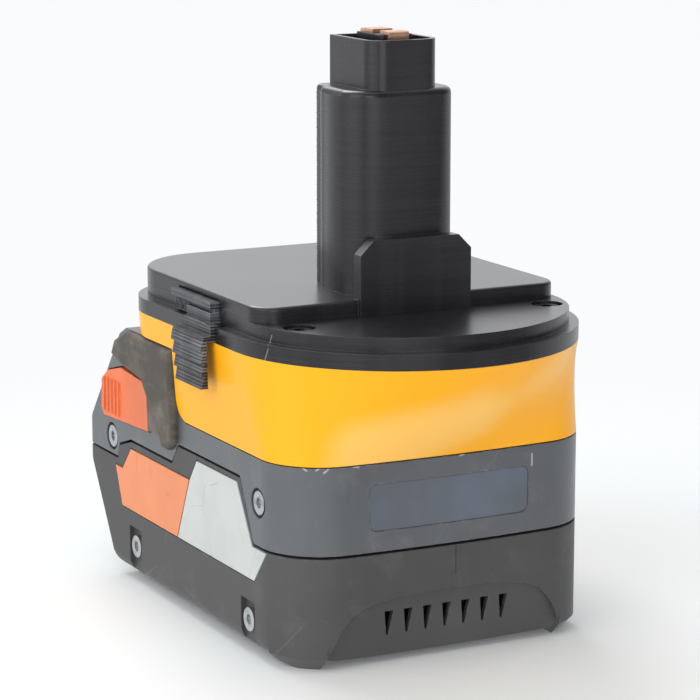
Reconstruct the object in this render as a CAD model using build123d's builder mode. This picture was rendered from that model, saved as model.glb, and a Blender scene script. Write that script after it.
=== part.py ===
"""Slide-on battery pack with a printed tower adapter docked on its rail.

X runs across the pack, -Y is the front with the vents, +Z is up. The origin is on the floor,
under the middle of the overall box. The adapter slides off towards -Y.
"""
import math
import os

from build123d import *

os.makedirs("parts", exist_ok=True)

# Overall sizes of the pack, in millimetres; its length, width and deck height follow its cells
nose_overhang = 16.0
head_length = 58.8
head_rise = 17.8
case_wall = 2.4
floor_height = 1.8
floor_wall = 1.8
floor_edge = 4.5
front_bow_radius = 400.0
pack_front_corner = 15.6
pack_rear_corner = 3.0

# Front corners brought down to the ground, and two feet under the rear of the case
corner_foot_inset = 10.2
corner_foot_chamfer = 3.6
corner_foot_heel = 9.4
corner_foot_run = 13.4
foot_inner_inset = 13.5
foot_outer_inset = 6.5
foot_length = 6.5
foot_rear_run = 31.0

# Clearances
slide_gap = 0.3
rail_gap = 0.4
button_gap = 0.4
seam_gap = 0.7
shaft_gap = 0.05
cell_gap = 0.15
overrun = 1.0

# Parting line between the two case halves, seen from the side
seam_front_height = 28.1
seam_rear_height = 31.7
cheek_front_foot = 20.9
cheek_front_top = 28.0
cheek_height = 43.1
cheek_step = 64.4
cheek_step_run = 3.9
cheek_low_height = 37.9
cheek_rear_top = 94.6
cheek_rear_mid = 102.2
cheek_rear_mid_height = 35.5
cheek_rear_foot = 103.6

# Rear of the case, seen from the side
beak_low_height = 31.7
beak_high_height = 36.4
rear_rake_low = 15.0
rear_rake_low_height = 7.8
rear_rake_high = 22.6
head_crown_radius = 9.0
heel_run = 3.4
deck_fillet = 6.0

# Slide rail on the deck
rail_setback = 6.0
rail_neck_half = 21.0
rail_flange_half = 25.2
rail_neck_height = 5.7
rail_flange_height = 4.5
slot_inner = 6.0
slot_outer = 15.0
slot_width = 3.4
slot_length = 22.0
slot_floor = 2.0

# Terminal clips in the slots
clip_leaf = 0.4
clip_gap = 1.4
clip_length = 16.0
clip_height = 5.6
clip_pin = 0.8
clip_pin_hole = 1.6

# Cells, their holders and the board over them
cell_radius = 9.15
cell_length = 65.0
cell_columns = 5
cell_rows = 2
cell_spacing = 1.1
cell_row_spacing = 0.7
cell_rear_room = 21.4
cell_side_room = 9.5
strip_span_count = 2
holder_thickness = 7.5
holder_skin = 1.4
holder_end_skin = 1.2
holder_front_run = 5.2
holder_front_foot_run = 7.4
holder_front_foot_height = 13.0
holder_foot_run = 21.3
holder_rear_run = 11.8
holder_rear_foot_height = 18.2
lug_half = 4.0
lug_reach_below = 3.4
lug_reach_above = 2.4
strip_thickness = 0.25
strip_half = 2.0
board_thickness = 1.6
board_overhang = 0.5
board_front_gap = 6.0
board_length = 54.0
board_room = 0.4
chip_size = 8.0
chip_height = 0.9
chip_pitch = 13.0
chip_count = 3

# Side labels, each in two halves that meet on a slant
label_thickness = 0.5
label_recess = 0.4
label_gap = 0.5
label_slant_run = 7.6
label_bottom = 19.3
label_low_drop = 2.2
label_high_drop = 1.6
label_split = 65.4
label_rear_low = 100.8
label_rear_tip = 105.0
label_rear_tip_height = 29.4
label_front_low = 20.4
label_front_tip = 13.8
label_front_tip_height = 27.5
label_shoulder_front = 29.8
label_shoulder_rear = 53.0

# Screws in the sides of the case
case_screw_head = 2.9
case_screw_head_height = 1.2
case_screw_shank = 1.25
case_screw_length = 5.6
case_screw_recess = 3.7
case_screw_recess_depth = 1.4
star_drive = 1.4
star_drive_depth = 0.9
upper_front_screw_run = 18.1
upper_front_screw_height = 38.9
upper_rear_screw_run = 16.5
upper_rear_screw_height = 36.6
lower_front_screw_run = 24.1
lower_front_screw_height = 8.8
lower_rear_screw_run = 31.2
lower_rear_screw_height = 10.0
slot_pocket_half = 3.9
slot_pocket_top = 5.0

# Front grille in its raked arch, and the front panel
vent_count = 7
vent_pitch = 5.2
vent_width = 2.4
vent_tip = 0.5
vent_top = 13.2
vent_height = 6.1
arch_depth = 1.3
arch_foot_depth = 3.6
arch_wall = 1.6
arch_inset = 9.6
arch_top = 17.2
arch_shares = ((1.0, 0.0), (0.888, 0.5), (0.79, 0.75), (0.636, 0.9), (0.4, 0.98), (0.0, 1.0))
panel_inset = 20.5
panel_low = 33.4
panel_high = 44.8
panel_depth = 0.9
panel_corner = 2.0
panel_sink = 0.15

# Release buttons in the rear head, measured from the head's front face and over the deck
button_proud = 0.8
button_travel = 3.0
button_rim = 1.6
button_rim_thickness = 1.2
button_front = 16.7
button_length = 30.9
button_foot = -7.8
button_height = 14.7
button_shares = ((0.0, 0.09), (0.02, 0.72), (0.09, 0.93), (0.57, 1.0), (0.85, 0.85),
                 (0.985, 0.64), (1.0, 0.12), (0.94, 0.0))
button_rib_count = 5
button_rib = 0.7
button_rib_proud = 0.5
button_rib_pitch = 2.4
button_rib_rear = 2.4
button_rib_shares = (0.1, 0.72)
hook_thickness = 1.8
hook_height = 4.2
hook_rise = 5.8
hook_nose = 1.0
hook_reach = 4.2
hook_rear = 35.9
hook_plate_front = 27.1
hook_plate_foot = -3.9
spring_length = 8.0
spring_rib = 2.0
spring_rib_half = 4.6
spring_rib_foot = -4.4
spring_run = 32.7
spring_rise = 0.5
release_coil_radius = 2.6
release_wire = 0.6
release_turns = 5

# Rubber grips round the buttons: a leg in front and an arch over the top
grip_thickness = 3.2
grip_proud = 1.9
grip_edge = 1.4
grip_gap = 0.35
grip_front = -0.9
grip_length = 39.8
grip_foot = -8.5
grip_height = 26.0
grip_leg_shares = ((0.19, 0.0), (0.11, 0.0), (0.01, 0.1), (0.0, 0.39))
grip_arch_shares = ((0.75, 1.0), (0.855, 0.93), (0.94, 0.87), (1.0, 0.71), (0.862, 0.642),
                    (0.505, 0.575), (0.415, 0.42), (0.405, 0.09), (0.23, 0.1))

# Adapter body, a shell from the pack's plan to the lid's round-nosed plan
body_wall = 2.4
body_floor = 5.0
lid_flare = 1.7
nose_flat = 0.9
nose_trim = 3.7
lid_overlap = 36.8
lid_rear_corner = 22.0
body_head_floor = 1.8
body_bottom_corner = 15.6

# Lid ring and step
ring_height = 3.8
step_height = 3.4
step_inset = 2.7
step_nose_inset = 3.4
step_nose_flat = 2.8
step_nose_trim = 7.5
step_rear_inset = 1.3
step_rear_corner = 20.0
lip_height = 3.0
lip_room = 1.4
lip_wall = 1.6
lid_window_half = 19.0
lid_window_front = 37.5
lid_window_length = 52.0
lid_window_corner = 6.0
edge_round = 0.8

# Plate, key block, tower and collar, one print
plate_height = 3.9
plate_front_setback = 34.85
plate_front_corner = 6.0
block_half = 14.95
block_height = 14.1
block_proud = 1.2
block_depth = 3.5
block_neck_half = 9.0
block_chamfer = 3.4
tower_half = 14.5
tower_front_setback = 38.0
tower_lobe_depth = 20.6
tower_front_corner = 7.0
tower_rear_corner = 4.0
tower_slab_half = 12.8
tower_slab_depth = 24.6
tower_slab_corner = 2.2
tower_slab_round = 1.2
tower_height = 48.9
tower_round = 1.5
tower_wall = 2.6
tower_floor_height = 37.0
tower_floor = 3.0
collar_half = 9.35
collar_inset = 0.6
collar_depth = 22.5
collar_height = 11.7
collar_wall = 1.2
collar_front_corner = 4.5
collar_rear_corner = 0.6
wire_hole = 1.5

# Terminal block and copper contacts in the collar
terminal_half = 4.4
terminal_setback = 5.6
terminal_depth = 13.0
terminal_proud = 0.9
contact_half = 2.75
contact_thickness = 0.8
contact_front_drop = 9.0
contact_fold = 3.6
contact_rear_fold = 5.4
bend_share = 0.9

# Blades that reach into the pack's clips, and their leads
blade_thickness = 0.8
blade_height = 3.2
blade_length = 25.0
blade_holder_half = 18.0
blade_holder_depth = 4.2
blade_holder_height = 6.4
blade_rise = 0.9
wire_radius = 1.1
wire_rise = 7.0
wire_bend = 4.0

# Lid screws, two from above at the nose and two from below at the rear
lid_screw_inset = 10.2
lid_screw_front = 28.9
lid_screw_rear = 17.7
lid_screw_head = 3.0
lid_screw_head_height = 2.0
lid_screw_shank = 1.5
lid_screw_length = 11.0
lid_screw_sink = 0.5
lid_screw_seat = 3.9
lid_boss = 4.4

# Side latches of the adapter: heights over the body's top, insets from the lid's side
pad_front = 54.0
pad_length = 17.8
pad_taper = 2.6
pad_rise = 1.6
pad_height = 12.6
pad_gap = 2.0
pad_thickness = 1.9
pad_lean_share = 0.1
pad_rib_count = 4
pad_rib_proud = 0.9
latch_bridge_inset = 0.8
latch_shoulder_proud = 1.2
latch_ring_inset = 2.8
latch_bridge_rise = 0.4
latch_bridge_height = 3.8
latch_slider_half = 6.0
latch_slider_rise = 1.6
latch_slider_height = 2.9
latch_slider_reach = 12.0
latch_channel_rise = 1.3
latch_channel_height = 3.5
latch_hook_front = 57.3
latch_hook_length = 23.0
latch_block_length = 13.5
latch_block_height = 2.5
latch_ledge_gap = 0.9
latch_ledge_height = 1.7
latch_hook_inset = 0.3
latch_column_inset = 1.5
latch_column_width = 2.0
latch_notch_inset = 6.1
latch_spring_length = 6.0
latch_coil_radius = 1.15
latch_wire = 0.4
latch_turns = 6

# Heights of the cell stack, and the deck over it
floor_top = floor_height + floor_wall
holder_low = floor_top + slide_gap
cell_pitch = 2 * cell_radius + cell_spacing
cell_row_pitch = 2 * cell_radius + cell_row_spacing
cell_low = holder_low + holder_skin + cell_gap + cell_radius
row_heights = [cell_low + row * cell_row_pitch for row in range(cell_rows)]
holder_high = row_heights[-1] + cell_radius + cell_gap + holder_skin
board_top = holder_high + board_thickness
deck_height = board_top + chip_height + board_room + case_wall
head_height = deck_height + head_rise

# Places worked out from the sizes above
cells_front_run = holder_front_run + holder_end_skin
column_runs = [cells_front_run + cell_radius + column * cell_pitch
               for column in range(cell_columns)]
pack_length = column_runs[-1] + cell_radius + cell_rear_room
whole_length = pack_length + nose_overhang
nose_front = -whole_length / 2
pack_front = nose_front + nose_overhang
pack_rear = pack_front + pack_length
pack_width = cell_length + 2 * cell_side_room
half_width = pack_width / 2
arch_half_width = half_width - arch_inset
panel_half = half_width - panel_inset
corner_foot_inner = half_width - corner_foot_inset
foot_inner = half_width - foot_inner_inset
foot_outer = half_width - foot_outer_inset
head_front = pack_rear - head_length
inner_half = half_width - case_wall
rail_front = pack_front + rail_setback
rail_top = deck_height + rail_neck_height + rail_flange_height
slot_places = (-slot_outer, -slot_inner, slot_inner, slot_outer)
blade_places = (-slot_outer, slot_outer)
lid_half_width = half_width + lid_flare
nose_radius = lid_half_width + nose_flat
nose_corner = lid_half_width - nose_trim
body_low = deck_height + slide_gap
body_floor_top = body_low + body_floor
body_head_low = head_height + slide_gap
body_top = body_head_low + body_head_floor + lip_room + lip_height
body_rear_face = head_front - slide_gap
lid_rear = head_front + lid_overlap
ring_top = body_top + ring_height
step_top = ring_top + step_height
plate_top = step_top + plate_height
plate_front = nose_front + plate_front_setback
tower_front = nose_front + tower_front_setback
tower_top = plate_top + tower_height
rim_top = tower_top + collar_height
tower_floor_low = plate_top + tower_floor_height
tower_floor_top = tower_floor_low + tower_floor
step_half = lid_half_width - step_inset
step_nose_radius = step_half + step_nose_flat
step_nose_corner = step_half - step_nose_trim
step_rear = lid_rear - step_rear_inset
cell_half = cell_length / 2
board_half_width = cell_half + board_overhang
lug_outer = inner_half - slide_gap


def from_front(run):
    """Place along Y of a point measured back from the pack's front face."""
    return pack_front + run


def on_head(run, rise):
    """Point on the head's side, measured from its front face and over the deck."""
    return head_front + run, deck_height + rise


def share_points(shares, run, length, foot, height):
    """Points on the head's side from shares of a length and a height."""
    return [on_head(run + along * length, foot + up * height) for along, up in shares]


def draw_plan(half, front, rear, bow, front_corner, rear_corner):
    """Draw a plan with a bowed front, tangent front corners and rounded rear corners."""
    bow_centre = front + bow
    corner_y = bow_centre - math.sqrt((bow - front_corner) ** 2 - (half - front_corner) ** 2)
    turn = math.atan2(half - front_corner, bow_centre - corner_y)

    def on_corner(angle):
        across = half - front_corner + front_corner * math.sin(angle)
        return across, corner_y - front_corner * math.cos(angle)

    join = on_corner(turn)
    middle = on_corner((turn + math.pi / 2) / 2)
    side = on_corner(math.pi / 2)
    left_side, left_middle, left_join = ((-x, y) for x, y in (side, middle, join))
    rear_middle = rear_corner * (1 - math.sqrt(0.5))
    with BuildLine() as edge:
        ThreePointArc(left_join, (0, front), join)
        ThreePointArc(join, middle, side)
        Line(side, (half, rear - rear_corner))
        ThreePointArc((half, rear - rear_corner), (half - rear_middle, rear - rear_middle),
                      (half - rear_corner, rear))
        Line((half - rear_corner, rear), (rear_corner - half, rear))
        ThreePointArc((rear_corner - half, rear), (rear_middle - half, rear - rear_middle),
                      (-half, rear - rear_corner))
        Line((-half, rear - rear_corner), left_side)
        ThreePointArc(left_side, left_middle, left_join)
    make_face(edge.edges())


def draw_polygon(points):
    """Draw a closed polygon where its points say."""
    Polygon(*points, align=None)


def pack_plan(inset):
    """Draw the pack's plan, drawn in by a wall."""
    draw_plan(half_width - inset, pack_front + inset, pack_rear - inset, front_bow_radius - inset,
              pack_front_corner - inset, max(pack_rear_corner - inset, shaft_gap))


# Side outline of the case, drawn in by a wall where asked
def case_side(inset, floor, top_of_deck, top_of_head):
    """Points of the case's side outline from the front foot round the rear to the deck."""
    rear = pack_rear - inset
    heel = inset * heel_run / rear_rake_low
    return [
        (pack_front - overrun, floor),
        (pack_rear - rear_rake_low - heel_run - inset, floor),
        (pack_rear - rear_rake_low - inset - heel, rear_rake_low_height),
        (rear, beak_low_height),
        (rear, beak_high_height),
        (pack_rear - rear_rake_high - inset, top_of_head - head_crown_radius / 4),
        (pack_rear - rear_rake_high - inset - head_crown_radius / 2, top_of_head),
        (head_front + inset, top_of_head),
        (head_front + inset, top_of_deck),
        (pack_front - overrun, top_of_deck),
    ]


seam_line = [
    (pack_front - 2 * overrun, seam_front_height),
    (from_front(cheek_front_foot - label_gap), seam_front_height),
    (from_front(cheek_front_foot), seam_front_height + label_gap),
    (from_front(cheek_front_top), cheek_height),
    (from_front(cheek_step), cheek_height),
    (from_front(cheek_step + cheek_step_run), cheek_low_height),
    (from_front(cheek_rear_top), cheek_low_height),
    (from_front(cheek_rear_mid), cheek_rear_mid_height),
    (from_front(cheek_rear_foot), seam_rear_height),
    (pack_rear + 2 * overrun, seam_rear_height),
]


def seam_cutter(shift, far_height):
    """Full-width block between the parting line and a far height."""
    points = [(y, z + shift) for y, z in seam_line]
    points += [(seam_line[-1][0], far_height), (seam_line[0][0], far_height)]
    with BuildPart() as cutter:
        with BuildSketch(Plane.YZ.offset(-half_width - overrun)):
            draw_polygon(points)
        extrude(amount=pack_width + 2 * overrun)
    return cutter.part


def case_block(inset, floor, top_of_deck, top_of_head):
    """Solid in the case's outer shape, drawn in by a wall."""
    with BuildPart() as block:
        with BuildSketch(Plane.YZ.offset(inset - half_width)):
            draw_polygon(case_side(inset, floor, top_of_deck, top_of_head))
            foot = (head_front + inset, top_of_deck)
            fillet([v for v in vertices() if math.dist((v.X, v.Y), foot) < slide_gap], deck_fillet)
        extrude(amount=pack_width - 2 * inset)
        with BuildSketch(Plane.XY):
            pack_plan(inset)
        extrude(amount=head_height + overrun, mode=Mode.INTERSECT)
    return block.part


def spring_coil(length, radius, wire, turns):
    """A coil along +X from the origin, its wire's centre at the given radius."""
    pitch = (length - wire) / turns
    with BuildPart() as coil:
        with BuildLine() as line:
            Helix(pitch=pitch, height=pitch * turns, radius=radius, center=(wire / 2, 0, 0),
                  direction=(1, 0, 0))
        with BuildSketch(Plane(origin=line.edge() @ 0, z_dir=line.edge() % 0)):
            Circle(wire / 2)
        sweep(path=line.edge(), is_frenet=True)
    return coil.part


def box_between(low, high):
    """A private box between two corners."""
    size = [b - a for a, b in zip(low, high)]
    centre = [(a + b) / 2 for a, b in zip(low, high)]
    return Pos(*centre) * Box(*size, mode=Mode.PRIVATE)


def rod_x(y, z, low_x, high_x, radius):
    """A private rod along X."""
    rod = Cylinder(radius, high_x - low_x, rotation=(0, 90, 0), mode=Mode.PRIVATE)
    return Pos((low_x + high_x) / 2, y, z) * rod


upper_screw_places = [(from_front(upper_front_screw_run), upper_front_screw_height),
                      (pack_rear - upper_rear_screw_run, upper_rear_screw_height)]
lower_screw_places = [(from_front(lower_front_screw_run), lower_front_screw_height),
                      (pack_rear - lower_rear_screw_run, lower_rear_screw_height)]
case_screw_places = upper_screw_places + lower_screw_places

# Outline of the release button, from the front foot upwards
button_outline = share_points(button_shares, button_front, button_length, button_foot,
                              button_height)

# Outline of the rubber grip: the leg in front of the button, then the arch over it
grip_outline = share_points(grip_leg_shares, grip_front, grip_length, grip_foot, grip_height)
grip_outline += [(head_front + grip_gap, deck_height + deck_fillet - slide_gap),
                 (head_front + grip_gap, deck_height + grip_foot + grip_height)]
grip_outline += share_points(grip_arch_shares, grip_front, grip_length, grip_foot, grip_height)


def window_cutter(points, gap, low_x, high_x):
    """A block that cuts a polygon window, wider by a gap all round."""
    with BuildPart() as cutter:
        with BuildSketch(Plane.YZ.offset(low_x)):
            draw_polygon(points)
            offset(amount=gap, kind=Kind.INTERSECTION)
        extrude(amount=high_x - low_x)
    return cutter.part


# Label halves on the left side; the right side mirrors them
orange_outline = [
    (from_front(label_split), label_bottom),
    (from_front(label_rear_low), label_bottom),
    (from_front(label_rear_tip), label_rear_tip_height),
    (from_front(label_rear_low - label_gap), label_rear_tip_height),
    (from_front(cheek_rear_top), cheek_low_height - label_low_drop),
    (from_front(label_split - label_slant_run), cheek_low_height - label_low_drop),
]
pale_outline = [
    (from_front(label_split - label_gap), label_bottom),
    (from_front(label_split - label_slant_run - label_gap), cheek_low_height - label_low_drop),
    (from_front(label_shoulder_rear), cheek_height - label_high_drop),
    (from_front(label_shoulder_front), cheek_height - label_high_drop),
    (from_front(cheek_front_foot + label_gap), label_front_tip_height),
    (from_front(label_front_tip), label_front_tip_height),
    (from_front(label_front_low), label_bottom),
]

def arch_prism(depth_low, depth_high, half):
    """A block behind the front face whose rear face leans back towards the floor."""
    with BuildPart() as prism:
        with BuildSketch(Plane.YZ.offset(-half)):
            draw_polygon([(pack_front - overrun, floor_height), (from_front(depth_low), floor_height),
                          (from_front(depth_high), arch_top), (pack_front - overrun, arch_top)])
        extrude(amount=2 * half)
    return prism.part


arch_points = [(half * arch_half_width, floor_height + up * (arch_top - floor_height))
               for half, up in arch_shares]
arch_points += [(-x, z) for x, z in reversed(arch_points) if x]

# Lower case: shell, side cheeks, grille, screw pockets and label recesses
with BuildPart() as lower_cavity:
    add(case_block(case_wall, floor_top, deck_height - case_wall, head_height - case_wall))
    add(arch_prism(arch_foot_depth + arch_wall, arch_depth + arch_wall,
                   arch_half_width + arch_wall), mode=Mode.SUBTRACT)
with BuildPart() as corner_blocks:
    for low_x in (-half_width, corner_foot_inner):
        with BuildSketch(Plane.YZ.offset(low_x)):
            draw_polygon([(pack_front - overrun, 0), (from_front(corner_foot_heel), 0),
                          (from_front(corner_foot_run), floor_height),
                          (from_front(corner_foot_run), floor_height + floor_edge),
                          (pack_front - overrun, floor_height + floor_edge)])
        extrude(amount=corner_foot_inset)
with BuildPart() as corner_feet:
    with BuildSketch(Plane.XY):
        pack_plan(0)
    extrude(amount=floor_height + floor_edge)
    add(box_between((-half_width, pack_front, 0),
                    (half_width, from_front(corner_foot_run), floor_height + floor_edge)),
        mode=Mode.INTERSECT)
    chamfer(corner_feet.faces().sort_by(Axis.Z)[0].edges().sort_by(Axis.Y)[:-1],
            corner_foot_chamfer)
    add(corner_blocks.part, mode=Mode.INTERSECT)
with BuildPart() as feet:
    with BuildSketch(Plane.XY):
        for side in (-1, 1):
            with Locations((side * (foot_inner + foot_outer) / 2,
                            pack_rear - foot_rear_run + foot_length / 2)):
                RectangleRounded(foot_outer - foot_inner, foot_length, edge_round * 2)
    extrude(amount=floor_top)
    add(corner_feet.part)
with BuildPart() as arch_cut:
    with BuildSketch(Plane.XZ.offset(-from_front(arch_foot_depth + overrun))):
        draw_polygon(arch_points + [(-arch_half_width, -overrun), (arch_half_width, -overrun)])
    extrude(amount=arch_foot_depth + 2 * overrun)
    add(arch_prism(arch_foot_depth, arch_depth, half_width), mode=Mode.INTERSECT)
with BuildPart() as lower_case:
    add(case_block(0, floor_height, deck_height, head_height))
    add(seam_cutter(-seam_gap / 2, head_height + overrun), mode=Mode.SUBTRACT)
    fillet(lower_case.edges().group_by(Axis.Z)[0], floor_edge)
    add(feet.part)
    add(lower_cavity.part, mode=Mode.SUBTRACT)
    for side in (-1, 1):
        for points in (orange_outline, pale_outline):
            recess = window_cutter(points, slide_gap, -half_width - overrun,
                                   -half_width + label_recess)
            add(recess if side < 0 else mirror(recess, about=Plane.YZ), mode=Mode.SUBTRACT)
        for y, z in lower_screw_places:
            low_x, high_x = sorted((side * (half_width - case_screw_recess_depth),
                                    side * (half_width + overrun)))
            add(box_between((low_x, y - slot_pocket_half, -overrun),
                            (high_x, y + slot_pocket_half, z + slot_pocket_top)),
                mode=Mode.SUBTRACT)
            add(rod_x(y, z, -half_width - overrun, half_width + overrun,
                      case_screw_shank + shaft_gap), mode=Mode.SUBTRACT)
    add(arch_cut.part, mode=Mode.SUBTRACT)
    with BuildSketch(Plane.XZ.offset(-from_front(arch_foot_depth + arch_wall + overrun))):
        with GridLocations(vent_pitch, 0, vent_count, 1):
            draw_polygon([(-vent_width / 2, vent_top), (vent_width / 2, vent_top),
                          (vent_tip / 2, vent_top - vent_height),
                          (-vent_tip / 2, vent_top - vent_height)])
    extrude(amount=arch_foot_depth + arch_wall + 2 * overrun, mode=Mode.SUBTRACT)
lower_case.part.label = "lower_case"
export_step(lower_case.part, "parts/lower_case.step")

# Upper case: shell over the cells, with the deck, the slide rail and the rear head
hook_low = deck_height + hook_rise
hook_high = hook_low + hook_height
button_rim_outer = inner_half - slide_gap
button_inner = button_rim_outer - button_rim_thickness
hook_inner = button_inner - hook_thickness
spring_rib_outer = hook_inner - spring_length
hook_window_outer = inner_half
hook_window_inner = hook_inner - button_travel - button_gap
spring_y, spring_z = on_head(spring_run, spring_rise)
spring_rib_low = deck_height + spring_rib_foot
clip_front = rail_front + slot_length - clip_length - 2 * clip_leaf
clip_pin_y = clip_front + clip_length / 2
slot_bottom = deck_height + slot_floor
with BuildPart() as upper_cavity:
    add(lower_cavity.part)
    for low_x in (-spring_rib_outer, spring_rib_outer - spring_rib):
        add(box_between((low_x, spring_y - spring_rib_half, spring_rib_low),
                        (low_x + spring_rib, spring_y + spring_rib_half, head_height)),
            mode=Mode.SUBTRACT)
with BuildPart() as upper_case:
    add(case_block(0, floor_height, deck_height, head_height))
    add(seam_cutter(seam_gap / 2, -overrun), mode=Mode.SUBTRACT)
    add(upper_cavity.part, mode=Mode.SUBTRACT)
    add(box_between((-rail_neck_half, rail_front, deck_height - case_wall / 2),
                    (rail_neck_half, head_front + overrun, rail_top)))
    add(box_between((-rail_flange_half, rail_front, deck_height + rail_neck_height),
                    (rail_flange_half, head_front + overrun, rail_top)))
    for x in slot_places:
        add(box_between((x - slot_width / 2, rail_front - overrun, slot_bottom),
                        (x + slot_width / 2, rail_front + slot_length, rail_top + overrun)),
            mode=Mode.SUBTRACT)
        add(box_between((x - clip_pin_hole / 2, clip_pin_y - clip_pin_hole / 2, spring_rib_low),
                        (x + clip_pin_hole / 2, clip_pin_y + clip_pin_hole / 2, rail_top)),
            mode=Mode.SUBTRACT)
    for side in (-1, 1):
        window = window_cutter(button_outline, button_gap, -half_width - overrun,
                               button_travel + button_gap - button_inner)
        recess = window_cutter(grip_outline, shaft_gap, -half_width - overrun,
                               grip_thickness - grip_proud - half_width)
        for cut in (window, recess):
            add(cut if side < 0 else mirror(cut, about=Plane.YZ), mode=Mode.SUBTRACT)
        low_x, high_x = sorted((side * hook_window_inner, side * hook_window_outer))
        add(box_between((low_x, head_front - overrun, hook_low - button_gap),
                        (high_x, head_front + case_wall + overrun, hook_high + button_gap)),
            mode=Mode.SUBTRACT)
        for y, z in upper_screw_places:
            low_x, high_x = sorted((side * (half_width - case_screw_recess_depth),
                                    side * (half_width + overrun)))
            add(rod_x(y, z, low_x, high_x, case_screw_recess), mode=Mode.SUBTRACT)
            add(rod_x(y, z, -half_width - overrun, half_width + overrun,
                      case_screw_shank + shaft_gap), mode=Mode.SUBTRACT)
    with BuildSketch(Plane.XZ.offset(-pack_front - panel_depth)):
        with Locations((0, (panel_low + panel_high) / 2)):
            RectangleRounded(2 * panel_half, panel_high - panel_low, panel_corner)
    extrude(amount=panel_depth + overrun, mode=Mode.SUBTRACT)
upper_case.part.label = "upper_case"
export_step(upper_case.part, "parts/upper_case.step")

# Front panel, which follows the bow of the case
with BuildPart() as front_panel:
    with BuildSketch(Plane.XZ.offset(-pack_front - panel_depth)):
        with Locations((0, (panel_low + panel_high) / 2)):
            RectangleRounded(2 * panel_half - 2 * shaft_gap,
                             panel_high - panel_low - 2 * shaft_gap, panel_corner)
    extrude(amount=panel_depth + overrun)
    add(case_block(panel_sink, floor_height, deck_height, head_height), mode=Mode.INTERSECT)
front_panel.part.label = "front_panel"
export_step(front_panel.part, "parts/front_panel.step")


def export_pair(piece, name):
    """Write a left-hand piece and its mirror image on the right."""
    for side_name, solid in (("left", piece), ("right", mirror(piece, about=Plane.YZ))):
        solid.label = f"{name}_{side_name}"
        export_step(solid, f"parts/{name}_{side_name}.step")


# Label halves, bare plates in their recesses
label_inner = label_recess - half_width - label_thickness
with BuildPart() as side_plate:
    with BuildSketch(Plane.YZ.offset(label_inner)):
        draw_polygon(orange_outline)
    extrude(amount=label_thickness)
export_pair(side_plate.part, "side_plate")
with BuildPart() as rating_plate:
    with BuildSketch(Plane.YZ.offset(label_inner)):
        draw_polygon(pale_outline)
    extrude(amount=label_thickness)
export_pair(rating_plate.part, "rating_plate")

# Rubber grips
with BuildPart() as grip:
    with BuildSketch(Plane.YZ.offset(-half_width - grip_proud)):
        draw_polygon(grip_outline)
    extrude(amount=grip_thickness)
    fillet(grip.faces().sort_by(Axis.X)[0].edges(), grip_edge)
export_pair(grip.part, "grip")

# Release buttons, with a rim that keeps each in its window
with BuildPart() as release_button:
    with BuildSketch(Plane.YZ.offset(-button_rim_outer)):
        draw_polygon(button_outline)
        offset(amount=button_rim, kind=Kind.INTERSECTION)
    extrude(amount=button_rim_thickness)
    add(case_block(case_wall + slide_gap, floor_top, deck_height - case_wall - slide_gap,
                   head_height - case_wall - slide_gap), mode=Mode.INTERSECT)
    with BuildSketch(Plane.YZ.offset(-half_width - button_proud)):
        draw_polygon(button_outline)
    extrude(amount=half_width + button_proud - button_inner)
    rib_rear = head_front + button_front + button_length - button_rib_rear
    rib_low, rib_high = (deck_height + button_foot + share * button_height
                         for share in button_rib_shares)
    for index in range(button_rib_count):
        y = rib_rear - index * button_rib_pitch
        add(box_between((-half_width - button_proud - button_rib_proud, y - button_rib, rib_low),
                        (-half_width - button_proud + button_rib_proud, y, rib_high)))
export_pair(release_button.part, "release_button")

# Release hooks, arms fixed behind the buttons that reach into the adapter's rear wall
hook_front = head_front - hook_reach
with BuildPart() as release_hook:
    add(box_between((-button_inner, hook_front, hook_low),
                    (-hook_inner, head_front + hook_rear, hook_high)))
    add(box_between((-button_inner, head_front + hook_plate_front, deck_height + hook_plate_foot),
                    (-hook_inner, head_front + hook_rear, hook_high)))
    add(box_between((-button_inner - hook_nose, hook_front, hook_low),
                    (-hook_inner, hook_front + hook_reach - hook_nose, hook_high)))
export_pair(release_hook.part, "release_hook")

release_coil = spring_coil(spring_length, release_coil_radius, release_wire, release_turns)
with BuildPart() as release_spring:
    with Locations((-hook_inner, spring_y, spring_z)):
        add(release_coil)
export_pair(release_spring.part, "release_spring")

# Cells, two rows laid across the pack
cell_spots = [(from_front(run), z) for run in column_runs for z in row_heights]
with BuildPart() as cells:
    with BuildSketch(Plane.YZ.offset(-cell_half)):
        with Locations(*cell_spots):
            Circle(cell_radius)
    extrude(amount=cell_length)
cells.part.label = "cells"
export_step(cells.part, "parts/cells.step")

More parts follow.
